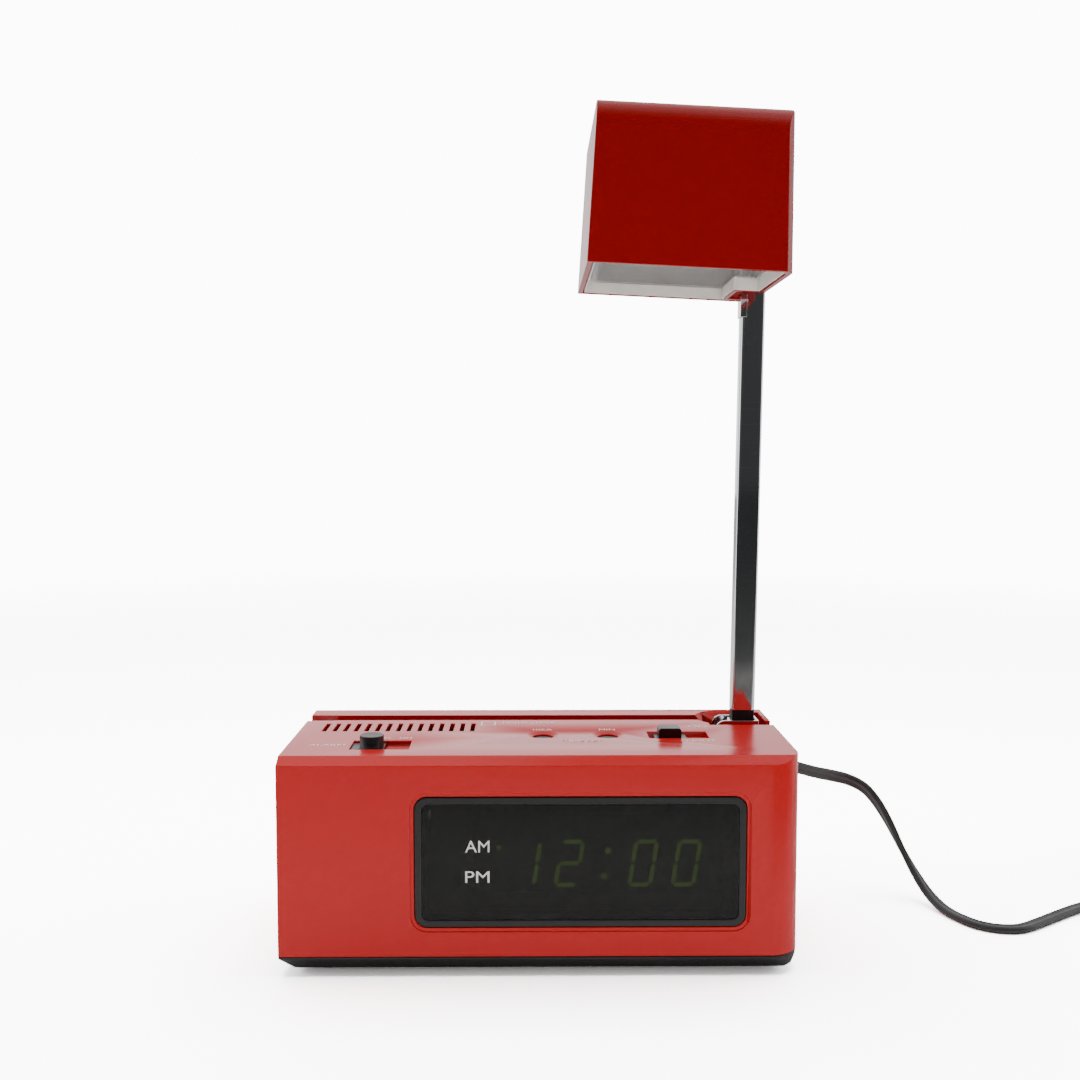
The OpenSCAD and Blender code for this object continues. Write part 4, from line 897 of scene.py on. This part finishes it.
def makeBowl():
    (x0, y0), (x1, y1) = headInside(headSet["bowlGap"])
    bm = boxMesh((x0, y0, headSet["bowlLow"]), (x1, y1, headSet["bowlHigh"]))
    mouth = [f for f in bm.faces if f.normal.z < -0.5]
    bmesh.ops.delete(bm, geom=mouth, context="FACES_ONLY")
    top = [v for v in bm.verts if v.co.z > headSet["bowlHigh"] - 1]
    middle = Vector(((x0 + x1) / 2, (y0 + y1) / 2, headSet["bowlHigh"]))
    bmesh.ops.scale(bm, vec=(headSet["bowlDraw"], headSet["bowlDraw"], 1), verts=top,
                    space=Matrix.Translation(-middle))
    rounded = [e for e in bm.edges if not e.is_boundary]
    bmesh.ops.bevel(bm, geom=rounded, offset=headSet["bowlCorner"], affect="EDGES", segments=6, profile=0.5,
                    material=-1)
    for out, down in headSet["lip"]:
        rim = [e for e in bm.edges if e.is_boundary]
        made = bmesh.ops.extrude_edge_only(bm, edges=rim)
        verts = [g for g in made["geom"] if isinstance(g, bmesh.types.BMVert)]
        span = Vector((x1 - x0, y1 - y0))
        grow = (1 + 2 * out / span.x, 1 + 2 * out / span.y, 1)
        bmesh.ops.scale(bm, vec=grow, verts=verts, space=Matrix.Translation(-middle))
        bmesh.ops.translate(bm, vec=(0, 0, -down), verts=verts)
    bmesh.ops.recalc_face_normals(bm, faces=bm.faces)
    bmesh.ops.solidify(bm, geom=bm.faces[:], thickness=headSet["bowlWall"])
    bmesh.ops.recalc_face_normals(bm, faces=bm.faces)
    deep = headSet["pocketDeep"] + headSet["pocketSkin"]
    bm = trimmed(bm, (headSet["pocketLeft"] - headSet["pocketSkin"], -deep, 0),
                 (headSet["right"] + 5, deep, headSet["pocketHigh"] + headSet["pocketSkin"]))
    # a hole for the lamp socket in the rear wall
    socketLow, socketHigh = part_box("lamp_socket")
    centre = onHead.inverted() @ ((socketLow + socketHigh) / 2)
    reach = (socketHigh.x - socketLow.x) / 2 / mm + 0.5
    bm = trimmed(bm, (centre.x - reach, 0, centre.z - reach),
                 (centre.x + reach, headSet["rear"] + 2, centre.z + reach))
    bmesh.ops.transform(bm, matrix=onHead, verts=bm.verts)
    return settle(finishMesh(bm, "reflector_bowl", "satinSilver"), "head", ["shade_reflector"])


def makePocketSkin():
    skin = headSet["pocketSkin"]
    deep = headSet["pocketDeep"]
    bm = boxMesh((headSet["pocketLeft"] - skin, -deep - skin, headSet["notchHigh"]),
                 (headSet["right"] - headSet["wall"] - 0.4, deep + skin, headSet["pocketHigh"] + skin))
    opened = [f for f in bm.faces if f.normal.z < -0.5 or f.normal.x > 0.5]
    bmesh.ops.delete(bm, geom=opened, context="FACES_ONLY")
    edges = [e for e in bm.edges if not e.is_boundary]
    bmesh.ops.bevel(bm, geom=edges, offset=1.6, affect="EDGES", segments=5, profile=0.5, material=-1)
    bmesh.ops.solidify(bm, geom=bm.faces[:], thickness=skin * 0.8)
    bmesh.ops.recalc_face_normals(bm, faces=bm.faces)
    bmesh.ops.transform(bm, matrix=onHead, verts=bm.verts)
    return settle(finishMesh(bm, "pocket_skin", "satinSilver", 50), "head")


def makeNotchSkin():
    # the lining goes on round the slot that the arm's end stands in
    skin = headSet["lining"]
    bm = boxMesh((headSet["notchLeft"] - skin, headSet["notchFront"] - skin, 0.3),
                 (headSet["right"] - headSet["wall"] - 0.5, headSet["notchRear"], headSet["notchHigh"]))
    opened = [f for f in bm.faces if f.normal.z < -0.5 or f.normal.x > 0.5 or f.normal.y > 0.5]
    bmesh.ops.delete(bm, geom=opened, context="FACES_ONLY")
    edges = [e for e in bm.edges if not e.is_boundary]
    bmesh.ops.bevel(bm, geom=edges, offset=1.2, affect="EDGES", segments=4, profile=0.5, material=-1)
    bmesh.ops.solidify(bm, geom=bm.faces[:], thickness=skin * 0.7)
    bmesh.ops.recalc_face_normals(bm, faces=bm.faces)
    deep = headSet["pocketDeep"]
    bm = trimmed(bm, (headSet["pocketLeft"], -deep, 0), (headSet["right"] + 5, deep, headSet["pocketHigh"]))
    bmesh.ops.transform(bm, matrix=onHead, verts=bm.verts)
    return settle(finishMesh(bm, "notch_skin", "whiteEnamel", 50), "head")


makeLining()
makeBowl()
makePocketSkin()
makeNotchSkin()
print("lamp head lined")
